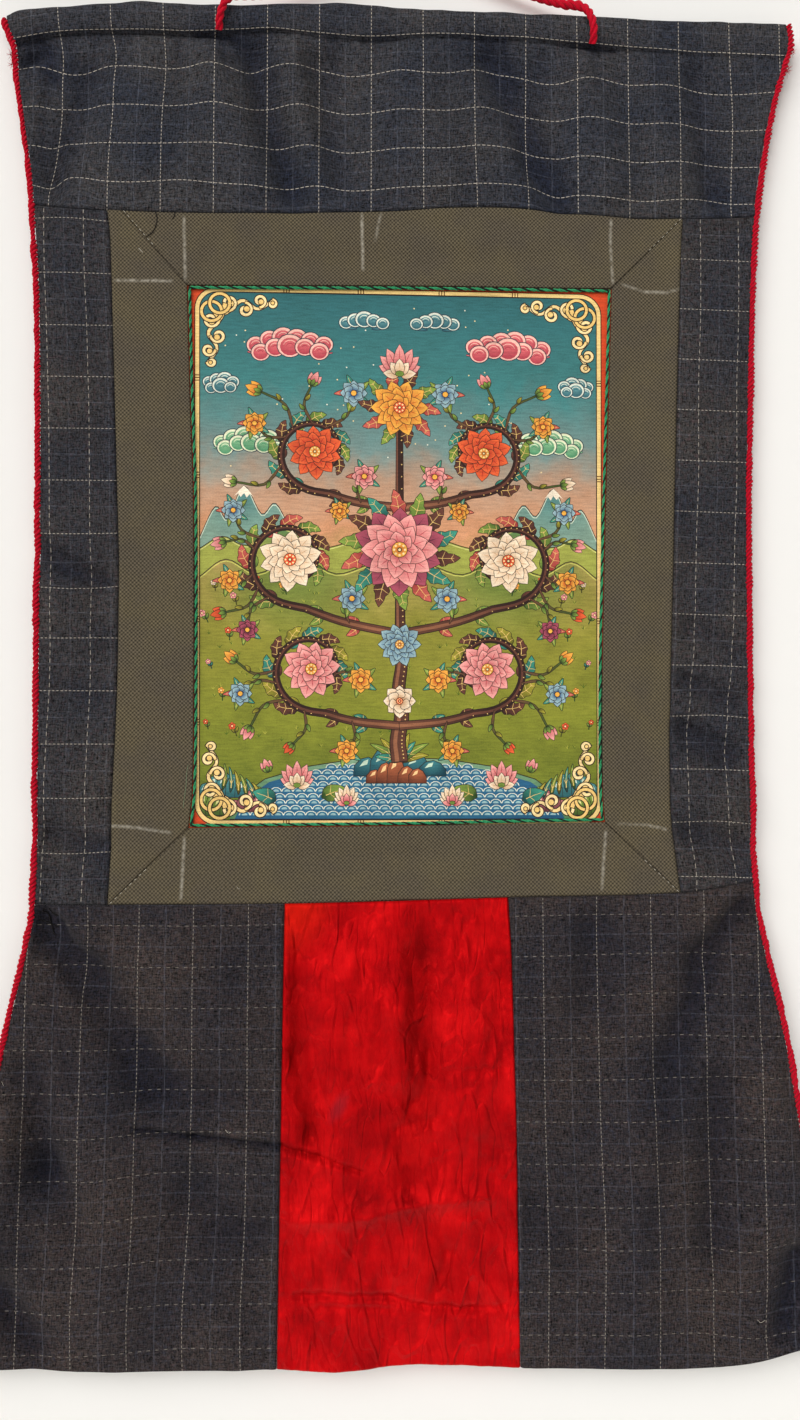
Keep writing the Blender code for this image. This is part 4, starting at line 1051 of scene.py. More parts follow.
def bud(x, q, angle, size, hue):
    """A closed bud in its green cup."""
    for spread in (-0.42, 0.42, 0.0):
        petal(x, q, angle + spread, size * (0.86 if spread else 1.0), size * 0.46, PETALS[hue], 0.8,
              streak=False)
    for spread in (-0.75, 0.75, 0.0):
        petal(x, q, angle + spread, size * 0.48, size * 0.24, LEAVES["green"], 0.8, streak=False, count=5)


def sprig(x, q, angle, size, hue, leaves):
    """A small flower on a short stalk with two leaves."""
    stalk = bowed(x, q, angle, size, 0.5, 6)
    stroke(stalk, tapered(6, 0.7, 0.4), LEAVES[leaves][0])
    leaf(*stalk[2], angle + 0.9, size * 0.55, size * 0.24, leaves, -0.5, 0, None)
    leaf(*stalk[2], angle - 0.8, size * 0.5, size * 0.22, leaves, 0.5, 0, None)
    px, pq = stalk[-1]
    for k in range(5):
        a = angle + k * math.tau / 5
        shape(around(px + size * 0.17 * math.cos(a), pq + size * 0.17 * math.sin(a), size * 0.15, 7),
              PETALS[hue][1], PETALS[hue][0], (px, pq), size * 0.3, 0.0, INK, 0.22)
    shape(around(px, pq, size * 0.09, 6), PALE_GOLD)


def puff(x, q, radius, hues):
    """One scallop of a cloud: rings of colour, pale outside, inside an ink line."""
    dark, middle, pale = hues
    shape(around(x, q, radius, 17, PUFF_SQUASH), pale, line=CLOUD_INK, line_width=0.5)
    inner = around(x, q - radius * 0.07, radius * 0.80, 14, PUFF_SQUASH)
    shape(inner, middle, dark, (x, q + radius * 0.4), 0.0, radius * 1.3)
    for share, colour in ((0.56, pale), (0.30, dark)):
        arc = curl(x, q - radius * 0.1, 0.35, math.pi - 0.35, radius * share, radius * share, 6)
        shape(brushed(arc, tapered(6, 0.15, 0.15, 0.35)), colour)


def cloud(x, q, length, rise, radius, hues, banks):
    """A long bank of cloud in rows of scallops, the nearer rows lower, ending in a trail."""
    trail = bowed(x - length * 0.52, q - rise * 0.45, -0.25, length * 0.34, 0.5, 10)
    for sign in (1, -1):
        path = trail if sign > 0 else trail * (-1, 1) + (2 * x, 0)
        stroke(path, tapered(10, 0.4, 3.2), hues[1], hues[0], CLOUD_INK, 0.4)
    for row in range(banks):
        count = max(2, round(length * (1 - 0.16 * row) / (radius * 1.25)))
        for k in range(count):
            s = (k + 0.5) / count * 2 - 1
            height = (1 - s * s) * rise + brush_draws.uniform(-0.5, 0.5)
            puff(x + s * length / 2 * (1 - 0.10 * row), q + height - row * radius * 0.78,
                 radius * (0.78 + 0.34 * (1 - abs(s))) * brush_draws.uniform(0.9, 1.08), hues)


def joined(points, count):
    """A smooth path through a few points."""
    points = np.asarray(points, float)
    t = np.linspace(0, len(points) - 1, count)
    i = np.clip(t.astype(int), 0, len(points) - 2)
    s = (t - i)[:, None]
    slope = np.gradient(points, axis=0)
    return (points[i] * (1 + 2 * s) * (1 - s) ** 2 + points[i + 1] * s * s * (3 - 2 * s)
            + slope[i] * s * (1 - s) ** 2 - slope[i + 1] * s * s * (1 - s))


def hill(points, top, foot, rim, reach, snow=None, base=-20.0):
    """A hill or peak: a smooth outline, shaded down from its top, with a pale edge inside its ink."""
    ridge = joined(points, (len(points) - 1) * 5 + 1)
    outline = np.concatenate([ridge, [[ridge[-1, 0], base], [ridge[0, 0], base]]])
    peak = ridge[np.argmax(ridge[:, 1])]
    shape(outline, top, foot, (peak[0], peak[1] + 2), 0.0, reach)
    stroke(ridge, tapered(len(ridge), 0.5, 0.5), INK)
    stroke(ridge + (0.0, -1.0), tapered(len(ridge), 0.5, 0.5), rim)
    if snow:
        cap = peak + np.array([(-5.5, -6.0), (-3.2, -4.4), (-1.8, -6.4), (0.2, -4.2), (1.6, -6.8),
                               (3.4, -4.6), (5.4, -6.2), (2.3, -2.0), (0.0, 0.0), (-2.3, -2.2)])
        shape(cap, snow)


def rock(x, q, width, height, hues, seed):
    """A craggy rock in facets, with pale edges."""
    draws = random.Random(seed)
    for k in range(ROCK_FACETS):
        s = (k + 0.5) / ROCK_FACETS * 2 - 1
        top = height * (1.0 - 0.55 * abs(s)) * draws.uniform(0.75, 1.1)
        wide = width / ROCK_FACETS * 0.85
        foot = (x + s * width / 2, q)
        facet = [(-1, 0), (-0.9, 0.55), (-0.45, 0.9), (0.1, 1), (0.6, 0.82), (1, 0.4), (1.05, 0)]
        shape(np.array(facet) * (wide, top) + foot, hues[1], hues[0], (foot[0], q + top), 0.0, top * 1.1,
              INK, 0.4)
        pale = [(-0.55, 0.5), (-0.25, 0.8), (0.1, 0.9), (0, 0.62)]
        shape(np.array(pale) * (wide, top) + foot, hues[2])


def mirrored(first):
    """Repeats every shape added since the first, the other way round."""
    for one in shapes[first:]:
        centre = -one.centre[0], one.centre[1]
        shapes.append(one._replace(outline=one.outline[::-1] * (-1, 1), centre=centre))


stems = []


def stem(path, first_width, last_width):
    """A brown stem with a light side."""
    count = len(path)
    stems.append(path)
    stroke(path, tapered(count, first_width, last_width), BARK, BARK_SHADE, INK, 0.5)
    stroke(path, tapered(count, first_width * 0.40, last_width * 0.3), "#9a6a50", "#5d3a30")


def bough(root, x, q, radius, hue, core, leaf_hues):
    """A scroll of the stem: it leaves the trunk, runs under its blossom and curls over it, with cut leaves
    outside and small ones inside."""
    between = root[0] * 0.5 + x * 0.5, (root[1] + q - radius) / 2 - 1.5
    way_in = joined([root, between, (x + 4, q - radius)], 12)
    turns = curl(x, q, -math.pi / 2, -math.pi / 2 - 5.6, radius, radius * BOUGH_CURL, 34)
    path = np.concatenate([way_in[:-1], turns])
    count = len(path)
    for k in range(13, count - 3, 3):
        along = path[k + 1] - path[k - 1]
        angle = math.atan2(along[1], along[0])
        size = radius * 0.50 * (1.0 - 0.4 * (k - 13) / count) + 2.5
        leaf(*path[k], angle + 0.85, size, size * 0.5, leaf_hues[(k // 3) % len(leaf_hues)], -1.0, 3)
        if k % 2:
            small_hue = leaf_hues[(k // 3 + 1) % len(leaf_hues)]
            leaf(*path[k], angle - 0.9, size * 0.5, size * 0.24, small_hue, 0.8, 0, None)
    for k in (4, 8):
        for angle, bend in ((2.2, 0.7), (4.2, -0.7)):
            leaf(*path[k], angle, radius * 0.36, radius * 0.17, leaf_hues[k % 3 - 1], bend, 0)
    stem(path, BOUGH_WIDTH, BOUGH_WIDTH * 0.4)
    edge = path[10:] + (path[10:] - (x, q)) / radius * BOUGH_WIDTH * 0.24
    for place in edge[:-3]:
        shape(around(*place, 0.34, 5), GOLD)
    blossom(x, q, radius * 0.66, hue, core, 3, radius)


def sprung(x, q, bend):
    """A thin stalk from the nearest stem to a place, drawn before what grows at that place."""
    every = np.concatenate(stems)
    root = every[np.argmin(np.hypot(*(every - (x, q)).T))]
    middle = (root + (x, q)) / 2
    across = np.array([-(q - root[1]), x - root[0]]) * bend
    path = joined([root, middle + across, (x, q)], 9)
    widths = tapered(9, 1.5, 0.8) * np.minimum(1.0, np.arange(9) * 0.5 + 0.1)
    stroke(path, widths, BARK, "#3f5a2a", INK, 0.3)
    for k, way, hue in ((3, 1, "green"), (5, -1, "olive")):
        run = path[k + 1] - path[k - 1]
        leaf(*path[k], math.atan2(run[1], run[0]) + way * 0.8, 4.6, 2.0, hue, -way * 0.6, 0, None)
    return math.atan2(path[-1][1] - path[-3][1], path[-1][0] - path[-3][0])


def corner_scroll(sx, sq):
    """Gold scrollwork in a corner of the frame: linked rings, and a waving vine with curls on each side."""
    first = len(shapes)
    for swap in (False, True):
        vine = joined([(7.0, 13.6), (14.5, 11.2), (21.8, 5.4), (29.5, 9.6), (37.5, 4.4)], 22)
        pieces = [(vine, 2.0, 1.0, 0)]
        for x, q, start, sweep, radius in ((15.2, 6.6, 1.57, -7.4, 4.2), (23.2, 10.2, -1.57, 7.2, 3.9),
                                           (30.2, 5.4, 1.57, -7.2, 3.5), (36.4, 7.0, -1.57, 6.6, 2.3)):
            turns = curl(x, q, start, start + sweep, radius, radius * 0.26, 20)
            pieces.append((turns, 1.2, 1.55, radius * 0.36))
        for path, first_width, last_width, ball in pieces:
            path = path[:, ::-1] if swap else path
            stroke(path, tapered(len(path), first_width, last_width), GOLD, PALE_GOLD, INK, 0.48)
            if ball:
                shape(around(*path[-1], ball, 11), PALE_GOLD, GOLD, None, 0.0, ball, INK, 0.4)
    for x, q in ((6.9, 10.9), (10.9, 6.9)):
        stroke(curl(x, q, 0.0, math.tau, 4.9, 4.9, 25), tapered(25, 1.35, 1.35), GOLD, None, INK, 0.48)
    x, q = -sx * PICTURE_HALF, PICTURE_FOOT if sq > 0 else PICTURE_TOP
    for i, one in enumerate(shapes[first:], first):
        outline = (one.outline * (sx * SCROLL_SCALE, sq * SCROLL_SCALE) + (x, q))[::sx * sq]
        centre = one.centre[0] * sx * SCROLL_SCALE + x, one.centre[1] * sq * SCROLL_SCALE + q
        shapes[i] = one._replace(outline=outline, centre=centre)


def frame_path():
    """The line round the picture, its corners rounded."""
    path = []
    x_end, foot, top = PICTURE_HALF - CORNER_CUT, PICTURE_FOOT + CORNER_CUT, PICTURE_TOP - CORNER_CUT
    for x, q, start in ((-x_end, foot, 2), (x_end, foot, 3), (x_end, top, 4), (-x_end, top, 5)):
        a = np.linspace(start * math.pi / 2, (start + 1) * math.pi / 2, 9)
        path.extend(zip(x + CORNER_CUT * np.cos(a), q + CORNER_CUT * np.sin(a)))
    return np.array(path)


def frame_line(width, colour):
    """Adds the line round the picture, this wide."""
    path = frame_path()
    for a, b in zip(path, np.roll(path, -1, 0)):
        run = (b - a) / max(math.dist(a, b), 1e-6)
        shape(brushed([a - run * 0.12, b + run * 0.12], (width, width)), colour)


def paint_picture():
    """All of the picture, back to front."""
    shape(BEYOND, "ground")

    # far peaks and hills, mirrored
    first = len(shapes)
    hill([(-113, 8), (-104, 26), (-97, 19), (-88, 38), (-78, 22), (-70, 28), (-60, 10), (-50, 2)],
         "#3d7f88", "#7fa39a", "#c8dcd0", 34, "#f0ece0")
    hill([(-113, 2), (-100, 9), (-86, 4), (-66, 14), (-44, 3), (-20, 8), (0, 1)],
         "#3f7a54", "#9aa650", "#cfd88a", 20)
    hill([(-113, -14), (-98, -4), (-80, -12), (-58, -2), (-36, -12), (-14, -6), (0, -12)],
         "#4f7f34", "ground", "#c9d070", 56, base=-78)
    for x, q in ((-104, -22), (-92, -30), (-78, -20), (-64, -24), (-108, -40), (-96, -50), (-106, -66),
                 (-100, -84), (-108, -100), (-92, -104)):
        sprig(x, q, 1.57 + brush_draws.uniform(-0.3, 0.3), brush_draws.uniform(4.5, 6.5),
              brush_draws.choice(["scarlet", "white", "rose", "orange"]),
              brush_draws.choice(["green", "olive", "teal"]))
    mirrored(first)

    # tufts of grass over the meadow, fine brush marks
    for k in range(110):
        x, q = brush_draws.uniform(-108, 108), brush_draws.uniform(-112, -14)
        for spread in (-0.5, 0.0, 0.5):
            blade = bowed(x, q, 1.57 + spread, brush_draws.uniform(1.4, 2.8), spread * 0.6, 3)
            shape(brushed(blade, (0.4, 0.3, 0.06)), brush_draws.choice(["#4c6a1e", "#a9ae4a", "#3d5a1c"]))

    # sky: banks of cloud
    pinks, greens = ("#a8384f", "#d9707a", "#f3c2bd"), ("#3f8a68", "#86c09a", "#dcebd2")
    blues = ("#22596d", "#5f98a4", "#d6e6e2")
    for k in range(70):
        x, q = brush_draws.uniform(-104, 104), brush_draws.uniform(44, 142)
        shape(around(x, q, 0.45, 5), PALE_GOLD if k % 3 else "#e7efe6")
    first = len(shapes)
    cloud(-84, 62, 40, 5, 5.4, greens, 2)
    cloud(-62, 118, 46, 6, 6.0, pinks, 2)
    cloud(-20, 132, 26, 3, 4.2, blues, 1)
    cloud(-101, 96, 18, 3, 4.0, blues, 2)
    mirrored(first)

    # pond
    pond = [(-96, -150), (-90, -138), (-76, -128), (-52, -121), (-26, -117), (0, -116), (27, -117),
            (53, -121), (77, -128), (91, -138), (97, -150)]
    shape(pond, "#8fb9a6", "#4f7f5a", (0, -150), 0, 100, INK, 0.5)
    pond_in = [(x * 0.97, -150 + (q + 150) * 0.93) for x, q in pond]
    shape(pond_in, "#2e6d94", "#235a86", (0, -150), 0, 90)
    for row in range(9):
        q = -121.6 - row * 3.3
        half = min(97 * math.sqrt((-116.0 - q) / 34.0) ** 0.9, 92) - 4.5
        count = int(half * 2 / 6.2)
        for k in range(count + 1):
            x = -half + (half * 2) * k / count + 1.3 * (row % 2)
            a = np.linspace(0.0, math.pi, 6)
            for share, colour in ((1.0, "#dbe7df"), (0.84, "#2f7197"), (0.5, "#8fb9c6")):
                shape(np.stack([x + 3.35 * share * np.cos(a), q + 2.5 * share * np.sin(a)], -1), colour)

    first = len(shapes)
    # banks: rocks and rushes at the water's edge
    rock(-99, -138, 26, 17, ("#1e5360", "#4f98a0", "#c6e0d6"), 3)
    rock(-84, -146, 22, 12, ("#5a2f3c", "#b5707a", "#f0c8b8"), 5)
    rock(-106, -148, 20, 15, ("#2f4a20", "#7fa045", "#d8dc9a"), 8)
    for k in range(7):
        x = -100 + k * 4.5
        leaf(x, -134 - k * 1.2, 1.2 + 0.12 * k, 15 - k * 0.6, 2.2, ("green", "teal", "olive")[k % 3], 0.5)
    lotus(-58, -131, 12, "rose")
    leaf(-70, -140, 2.6, 14, 9, "teal", 0.3)
    leaf(-44, -138, 0.5, 15, 9, "green", -0.3)
    lotus(-30, -141, 9, "white", "rose")
    bud(-74, -124, 1.9, 8, "rose")
    mirrored(first)

    # the mound that the bough grows from
    rock(0, -126, 46, 20, ("#123f52", "#3f8796", "#bfe0d4"), 12)
    rock(-2, -130, 30, 14, ("#5b2f22", "#b56a48", "#f2cf9a"), 17)
    for k in range(9):
        angle = 0.5 + k * 0.27
        leaf(0, -118, angle, 17 + 3 * math.sin(k * 2.1), 4.4, ("olive", "green", "teal")[k % 3],
             0.5 * (k - 4) / 4)

    # the trunk
    trunk = np.array([(0.2, -118), (-1.5, -106), (1.8, -92), (-1.0, -78), (1.6, -62), (0.4, -46), (0.2, -26),
                      (0, 30), (0, 72)])
    t = np.linspace(0, 8, 49)
    trunk = np.stack([np.interp(t, np.arange(9), trunk[:, 0]), np.interp(t, np.arange(9), trunk[:, 1])], -1)
    trunk[:, 0] = np.convolve(np.pad(trunk[:, 0], 2, "edge"), np.ones(5) / 5, "valid")
    stroke(trunk, tapered(49, 9.0, 3.0), "#5b3a30", "#2c1b18", INK, 0.55)
    stroke(trunk + (-1.4, 0), tapered(49, 2.4, 0.8), "#93644c", "#6b4436")
    for k in range(1, 48):
        shape(around(trunk[k, 0] + 2.5 - k * 0.03, trunk[k, 1], 0.4, 6), GOLD)

    first = len(shapes)
    for root, x, q, radius, hue, core, hues in (
            ((0, -98), -50, -66, 24, "rose", "orange", ("teal", "brown", "olive")),
            ((0, -46), -62, -4, 26, "white", "scarlet", ("red", "green", "brown")),
            ((0, 26), -48, 58, 23, "scarlet", "orange", ("green", "brown", "teal"))):
        bough(root, x, q, radius, hue, core, hues)
    for x, q, size, hue, bend in (
            (-98, -34, 9, "scarlet", 0.2), (-98, 6, 9, "rose", -0.2), (-92, 40, 9, "white", 0.25),
            (-78, 92, 10, "orange", -0.2), (-50, 96, 9, "rose", 0.2), (-92, -62, 9, "orange", 0.2),
            (-84, -98, 9, "rose", -0.2), (-60, -108, 7.5, "scarlet", 0.2)):
        bud(x, q, sprung(x, q, bend), size, hue)
    for x, q, size, hue, bend in (
            (-22, -72, 7.0, "orange", 0.2), (-27, -26, 7.5, "blue", 0.2), (-90, -80, 6.5, "blue", -0.2),
            (-94, 24, 6.5, "blue", 0.2), (-20, 44, 7.0, "rose", 0.2), (-82, 74, 6.5, "orange", 0.2),
            (-26, 92, 7.5, "blue", -0.2), (-30, -112, 6.5, "orange", 0.2), (-96, -16, 6.5, "orange", 0.2),
            (-86, -44, 6.0, "plum", -0.2), (-34, 24, 5.5, "orange", 0.2)):
        sprung(x, q, bend)
        for k in range(5):
            leaf(x, q, k * math.tau / 5 + 0.5, size * 1.5, size * 0.5, ("green", "teal", "red")[k % 3], 0.3)
        blossom(x, q, size, hue, "orange", 2)
    mirrored(first)

    # blossoms on the axis
    for k in range(14):
        angle = k * math.tau / 14 + 0.22
        leaf(16 * math.cos(angle), 2 + 16 * math.sin(angle), angle, 19, 9,
             ("teal", "brown", "green", "red")[k % 4], 0.35, 3)
    blossom(0, 2, 25, "plum", "orange", 1, 0.3)
    blossom(0, 2, 21.5, "rose", "orange", 4)
    for k in range(10):
        angle = k * math.tau / 10
        leaf(9 * math.cos(angle), 84 + 9 * math.sin(angle), angle, 15, 7,
             ("red", "green", "brown")[k % 3], -0.4, 3)
    blossom(0, 84, 16, "orange", "scarlet", 3)
    lotus(0, 104, 15, "rose")
    blossom(0, -52, 12, "blue", "orange", 3)
    blossom(0, -84, 9, "white", "scarlet", 2)

    # the vermilion edge over everything outside the gold line, the corners and the line
    inside = frame_path()[::-1]
    shape(np.concatenate([BEYOND, BEYOND[:1], inside, inside[:1]]), *VERMILION, (0, 0), 110, 190)
    for sx, sq in ((1, 1), (-1, 1), (-1, -1), (1, -1)):
        corner_scroll(sx, sq)
    frame_line(GOLD_LINE + 1.1, INK)
    frame_line(GOLD_LINE, "#ecd391")
    for k in (-1.5, 0.0, 1.5):
        for q in (-96, -38, 44, 100):
            for side in (-PICTURE_HALF, PICTURE_HALF):
                shape(brushed([(side - 1.2, q + k), (side + 1.2, q + k)], (0.6, 0.6)), TIE)
        for x in (-64, -22, 24, 66):
            for edge in (PICTURE_FOOT, PICTURE_TOP):
                shape(brushed([(x + k, edge - 1.2), (x + k, edge + 1.2)], (0.6, 0.6)), TIE)


# ---------------------------------------------------------------- camera, then the free cord
def make_camera():
    """The photograph's camera."""
    camera = placed("camera", bpy.data.cameras.new("camera"))
    camera.location = Vector(CAMERA_PLACE) * MM
    camera.rotation_euler = Euler((math.pi / 2 + CAMERA_PITCH, 0.0, -CAMERA_YAW))
    camera.data.sensor_width = SENSOR       # the long side's, which is the height
    camera.data.lens = SENSOR * FOCAL_PIXELS / PHOTO_HEIGHT
    camera.data.clip_start = 0.01
    bpy.context.scene.camera = camera


def even_route(route, spacing):
    """Evenly spaced points on a smooth curve through a given route."""
    Knot = namedtuple("Knot", "t x y z")
    knots, walked = [], 0.0
    for i, place in enumerate(route):
        if i:
            walked += math.dist(place, route[i - 1])
        knots.append(Knot(walked, *place))
    count = round(walked / spacing)
    t = np.array([walked * i / count for i in range(count + 1)])
    return np.stack([smooth(knots, "t", axis)(t) for axis in "xyz"], -1)


def guide_curve(name, points):
    """A poly curve through points in millimetres, for the trees below to follow."""
    data = bpy.data.curves.new(name, "CURVE")
    data.dimensions = "3D"
    spline = data.splines.new("POLY")
    spline.points.add(len(points) - 1)
    for point, place in zip(spline.points, points):
        point.co = (place[0] * MM, place[1] * MM, place[2] * MM, 1.0)
    return placed(name, data)


def new_tree(name, **inputs):
    """A Geometry Nodes tree with named inputs: itself, the function that adds its nodes, and the inputs."""
    tree = bpy.data.node_groups.new(name, "GeometryNodeTree")
    for label, kind in inputs.items():
        tree.interface.new_socket(name=label.replace("_", " ").capitalize(), in_out="INPUT",
                                  socket_type="NodeSocket" + kind)
    tree.interface.new_socket(name="Result", in_out="OUTPUT", socket_type="NodeSocketGeometry")
    add = adder(tree)
    return tree, add, add("NodeGroupInput").node.outputs


def end_tree(add, result, material):
    """Ends a tree with one smooth mesh of one material."""
    realized = add("GeometryNodeRealizeInstances", {"Geometry": result})
    smooth_faces = add("GeometryNodeSetShadeSmooth", {"Geometry": realized})
    done = add("GeometryNodeSetMaterial", {"Geometry": smooth_faces, "Material": material})
    add("NodeGroupOutput", {0: done})


def ply_tree():
    """Plies twisted round a path: circles set round its line, turned by its tilt and swept along it."""
    tree, add, given = new_tree(
        "twisted_plies", path="Geometry", plies="Int", cord_radius="Float", ply_radius="Float",
        turns_per_metre="Float", unevenness="Float", step="Float", sides="Int", material="Material")
    path = add("GeometryNodeResampleCurve", {"Curve": given["Path"], "Length": given["Step"]}, mode="LENGTH")
    run = add("GeometryNodeSplineParameter", out="Length")
    turn = add("Math", {0: run, 1: given["Turns per metre"]}, operation="MULTIPLY")
    turn = add("Math", {0: turn, 1: math.tau}, operation="MULTIPLY")
    place = add("GeometryNodeInputPosition")
    lumps = add("TexNoise", {"Vector": place, "Scale": 160.0, "Detail": 2.0})
    sway = add("Math", {0: lumps, 1: 0.5}, operation="SUBTRACT")
    extra = add("Math", {0: sway, 1: given["Unevenness"]}, operation="MULTIPLY")
    turn = add("Math", {0: turn, 1: extra}, operation="ADD")
    path = add("GeometryNodeSetCurveTilt", {"Curve": path, "Tilt": turn})
    ring = add("GeometryNodeMeshCircle", {"Vertices": given["Plies"], "Radius": given["Cord radius"]})
    circle = add("GeometryNodeCurvePrimitiveCircle",
                 {"Resolution": given["Sides"], "Radius": given["Ply radius"]}, mode="RADIUS")
    section = add("GeometryNodeInstanceOnPoints", {"Points": ring, "Instance": circle})
    section = add("GeometryNodeStoreNamedAttribute",
                  {"Geometry": section, "Name": "ply", "Value": add("GeometryNodeInputIndex")},
                  data_type="FLOAT", domain="INSTANCE")
    section = add("GeometryNodeRealizeInstances", {"Geometry": section})
    swept = add("GeometryNodeCurveToMesh", {"Curve": path, "Profile Curve": section,
                                            "Scale": add("GeometryNodeInputRadius"), "Fill Caps": True})
    end_tree(add, swept, given["Material"])
    return tree


def uneven_length(add, given, length, radius):
    """The scale of one stitch or fibre: its radius across, and a random share of its length."""
    draw = add("FunctionNodeRandomValue", {2: -1.0, 3: 1.0, "Seed": given["Seed"]}, 1, data_type="FLOAT")
    share = add("Math", {0: draw, 1: given["Unevenness"], 2: 1.0}, operation="MULTIPLY_ADD")
    tall = add("Math", {0: share, 1: length}, operation="MULTIPLY")
    return add("CombineXYZ", {0: radius, 1: radius, 2: tall})


def stitch_tree():
    """Stitches along a path: a small rounded bar at each pitch, laid along it, a little uneven in length."""
    tree, add, given = new_tree("stitches", path="Geometry", pitch="Float", half_length="Float",
                                thread_radius="Float", unevenness="Float", seed="Int", material="Material")
    places = add("GeometryNodeCurveToPoints", {"Curve": given["Path"], "Length": given["Pitch"]},
                 mode="LENGTH").node.outputs
    bar = add("GeometryNodeMeshUVSphere", {"Segments": 6, "Rings": 5, "Radius": 1.0})
    size = uneven_length(add, given, given["Half length"], given["Thread radius"])
    sewn = add("GeometryNodeInstanceOnPoints", {"Points": places["Points"], "Instance": bar,
                                                "Rotation": places["Rotation"], "Scale": size})
    end_tree(add, sewn, given["Material"])
    return tree


def fibre_tree():
    """Loose fibres that stand off a yarn: thin three-sided spikes that lean at random."""
    tree, add, given = new_tree("fibres", core="Geometry", per_square_metre="Float", fibre_length="Float",
                                fibre_radius="Float", unevenness="Float", seed="Int", material="Material")
    spots = add("GeometryNodeDistributePointsOnFaces",
                {"Mesh": given["Core"], "Density": given["Per square metre"],
                 "Seed": given["Seed"]}).node.outputs
    lean = add("FunctionNodeRandomValue", {0: (-1.1, -1.1, -1.1), 1: (1.1, 1.1, 1.1), "Seed": given["Seed"]},
               data_type="FLOAT_VECTOR")
    way = add("VectorMath", {0: spots["Normal"], 1: lean}, operation="ADD")
    turn = add("FunctionNodeAlignRotationToVector", {"Vector": way}, axis="Z")
    spike = add("GeometryNodeMeshCone",
                {"Vertices": 3, "Radius Top": 0.25, "Radius Bottom": 1.0, "Depth": 1.0})
    size = uneven_length(add, given, given["Fibre length"], given["Fibre radius"])
    fuzz = add("GeometryNodeInstanceOnPoints",
               {"Points": spots["Points"], "Instance": spike, "Rotation": turn, "Scale": size})
    end_tree(add, fuzz, given["Material"])
    return tree


def grow(guide, tree, inputs, name):
    """Runs a Geometry Nodes tree on a guide and keeps its result as a plain mesh object."""
    modifier = guide.modifiers.new("grow", "NODES")
    modifier.node_group = tree
    for item in tree.interface.items_tree:
        if item.in_out == "INPUT" and item.name in inputs:
            modifier[item.identifier] = inputs[item.name]
    bpy.context.view_layer.update()
    evaluated = guide.evaluated_get(bpy.context.evaluated_depsgraph_get())
    mesh = bpy.data.meshes.new_from_object(evaluated)
    mesh.name = name
    bpy.data.objects.remove(guide)
    return placed(name, mesh)


def twisted(guide, name, thickness, ply_share, lay, unevenness, step, sides, material):
    """A cord of three plies laid round a guide. Step is in metres, and lay in millimetres for a full turn."""
    ply = thickness / 2 * ply_share
    return grow(guide, plies, {"Plies": 3, "Cord radius": (thickness / 2 - ply) * MM, "Ply radius": ply * MM,
                               "Turns per metre": 1000 / lay, "Unevenness": unevenness, "Step": step,
                               "Sides": sides, "Material": material}, name + "_plies")


make_camera()
red_yarn = yarn("red_cord_yarn", "#92031c", "#dc0528", 2600.0)
plies, stitches, fibres = ply_tree(), stitch_tree(), fibre_tree()


def hanging_cord():
    """The cord that the scroll hangs by, three plies twisted together, swollen at its half hitch."""
    points = even_route(HANGING_ROUTE, 0.8)
    guide = guide_curve("hanging_guide", points)
    for point, place in zip(guide.data.splines[0].points, points):
        point.radius = 1.0 + KNOT_SWELL * sum(
            math.exp(-((place[0] - bump) / KNOT_BUMP_LENGTH) ** 2) for bump in KNOT_BUMPS)
    cord = twisted(guide, "hanging_cord", HANGING_CORD, 0.52, LAY_LENGTH, 0.9, 0.0008, 12, red_yarn)
    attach(cord, "root")
    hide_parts("hanging_cord")
    tuple(v * MM for v in HANGING_ROUTE[0])


hanging_cord()

# ---------------------------------------------------------------- the sheets of cloth
band_suiting = check_suiting("band", ("#2a2c33", "#2c2e30", "#302c2e"), 1.04, 1.0, 2.9, 1.9, 0.95)
side_suiting = check_suiting("sides", ("#2b2c31", "#2d2d2c", "#31292b"), 1.08, 0.80, 4.6, 2.4, 0.66)
lower_suiting = check_suiting("lower", ("#2c2b31", "#2f2b29", "#32292a"), 0.88, 0.50, 4.8, 1.9, 0.32)
satin = red_satin()
mount_cloth = olive_mount_cloth()
canvas = painted_canvas()


def heading_puff(x, share, ends):
    """How far the padded heading stands out to each side, at a share of its way down."""
    wrinkle = 0.5 * ruffle(x, share * 14, 9, 16, 4.4) + 0.35 * ruffle(x, share * 14, 21, 30, 9.1)
    roll = np.sqrt(np.clip(1 - np.abs(2 * share - 1) ** 2.6, 0.0, 1.0)) * heading_fullness(x)
    roll = roll * (0.45 + 0.55 * ends)
    return roll * (HEADING_DEPTH - CLOTH) / 2 * (1 + 0.16 * wrinkle)


def heading_sag(x, share):
    """How far the roll hangs down over its seam."""
    return HEADING_OVERHANG * np.exp(-((share - 0.9) / 0.09) ** 2) * heading_fullness(x) * (share < 1.0)


def heading_tuck(x, z):
    """How far the band is drawn back under its heading."""
    return 1.5 * np.exp(-(np.maximum(heading_seam(x) - z, 0.0) / 2.6) ** 2) * heading_fullness(x)


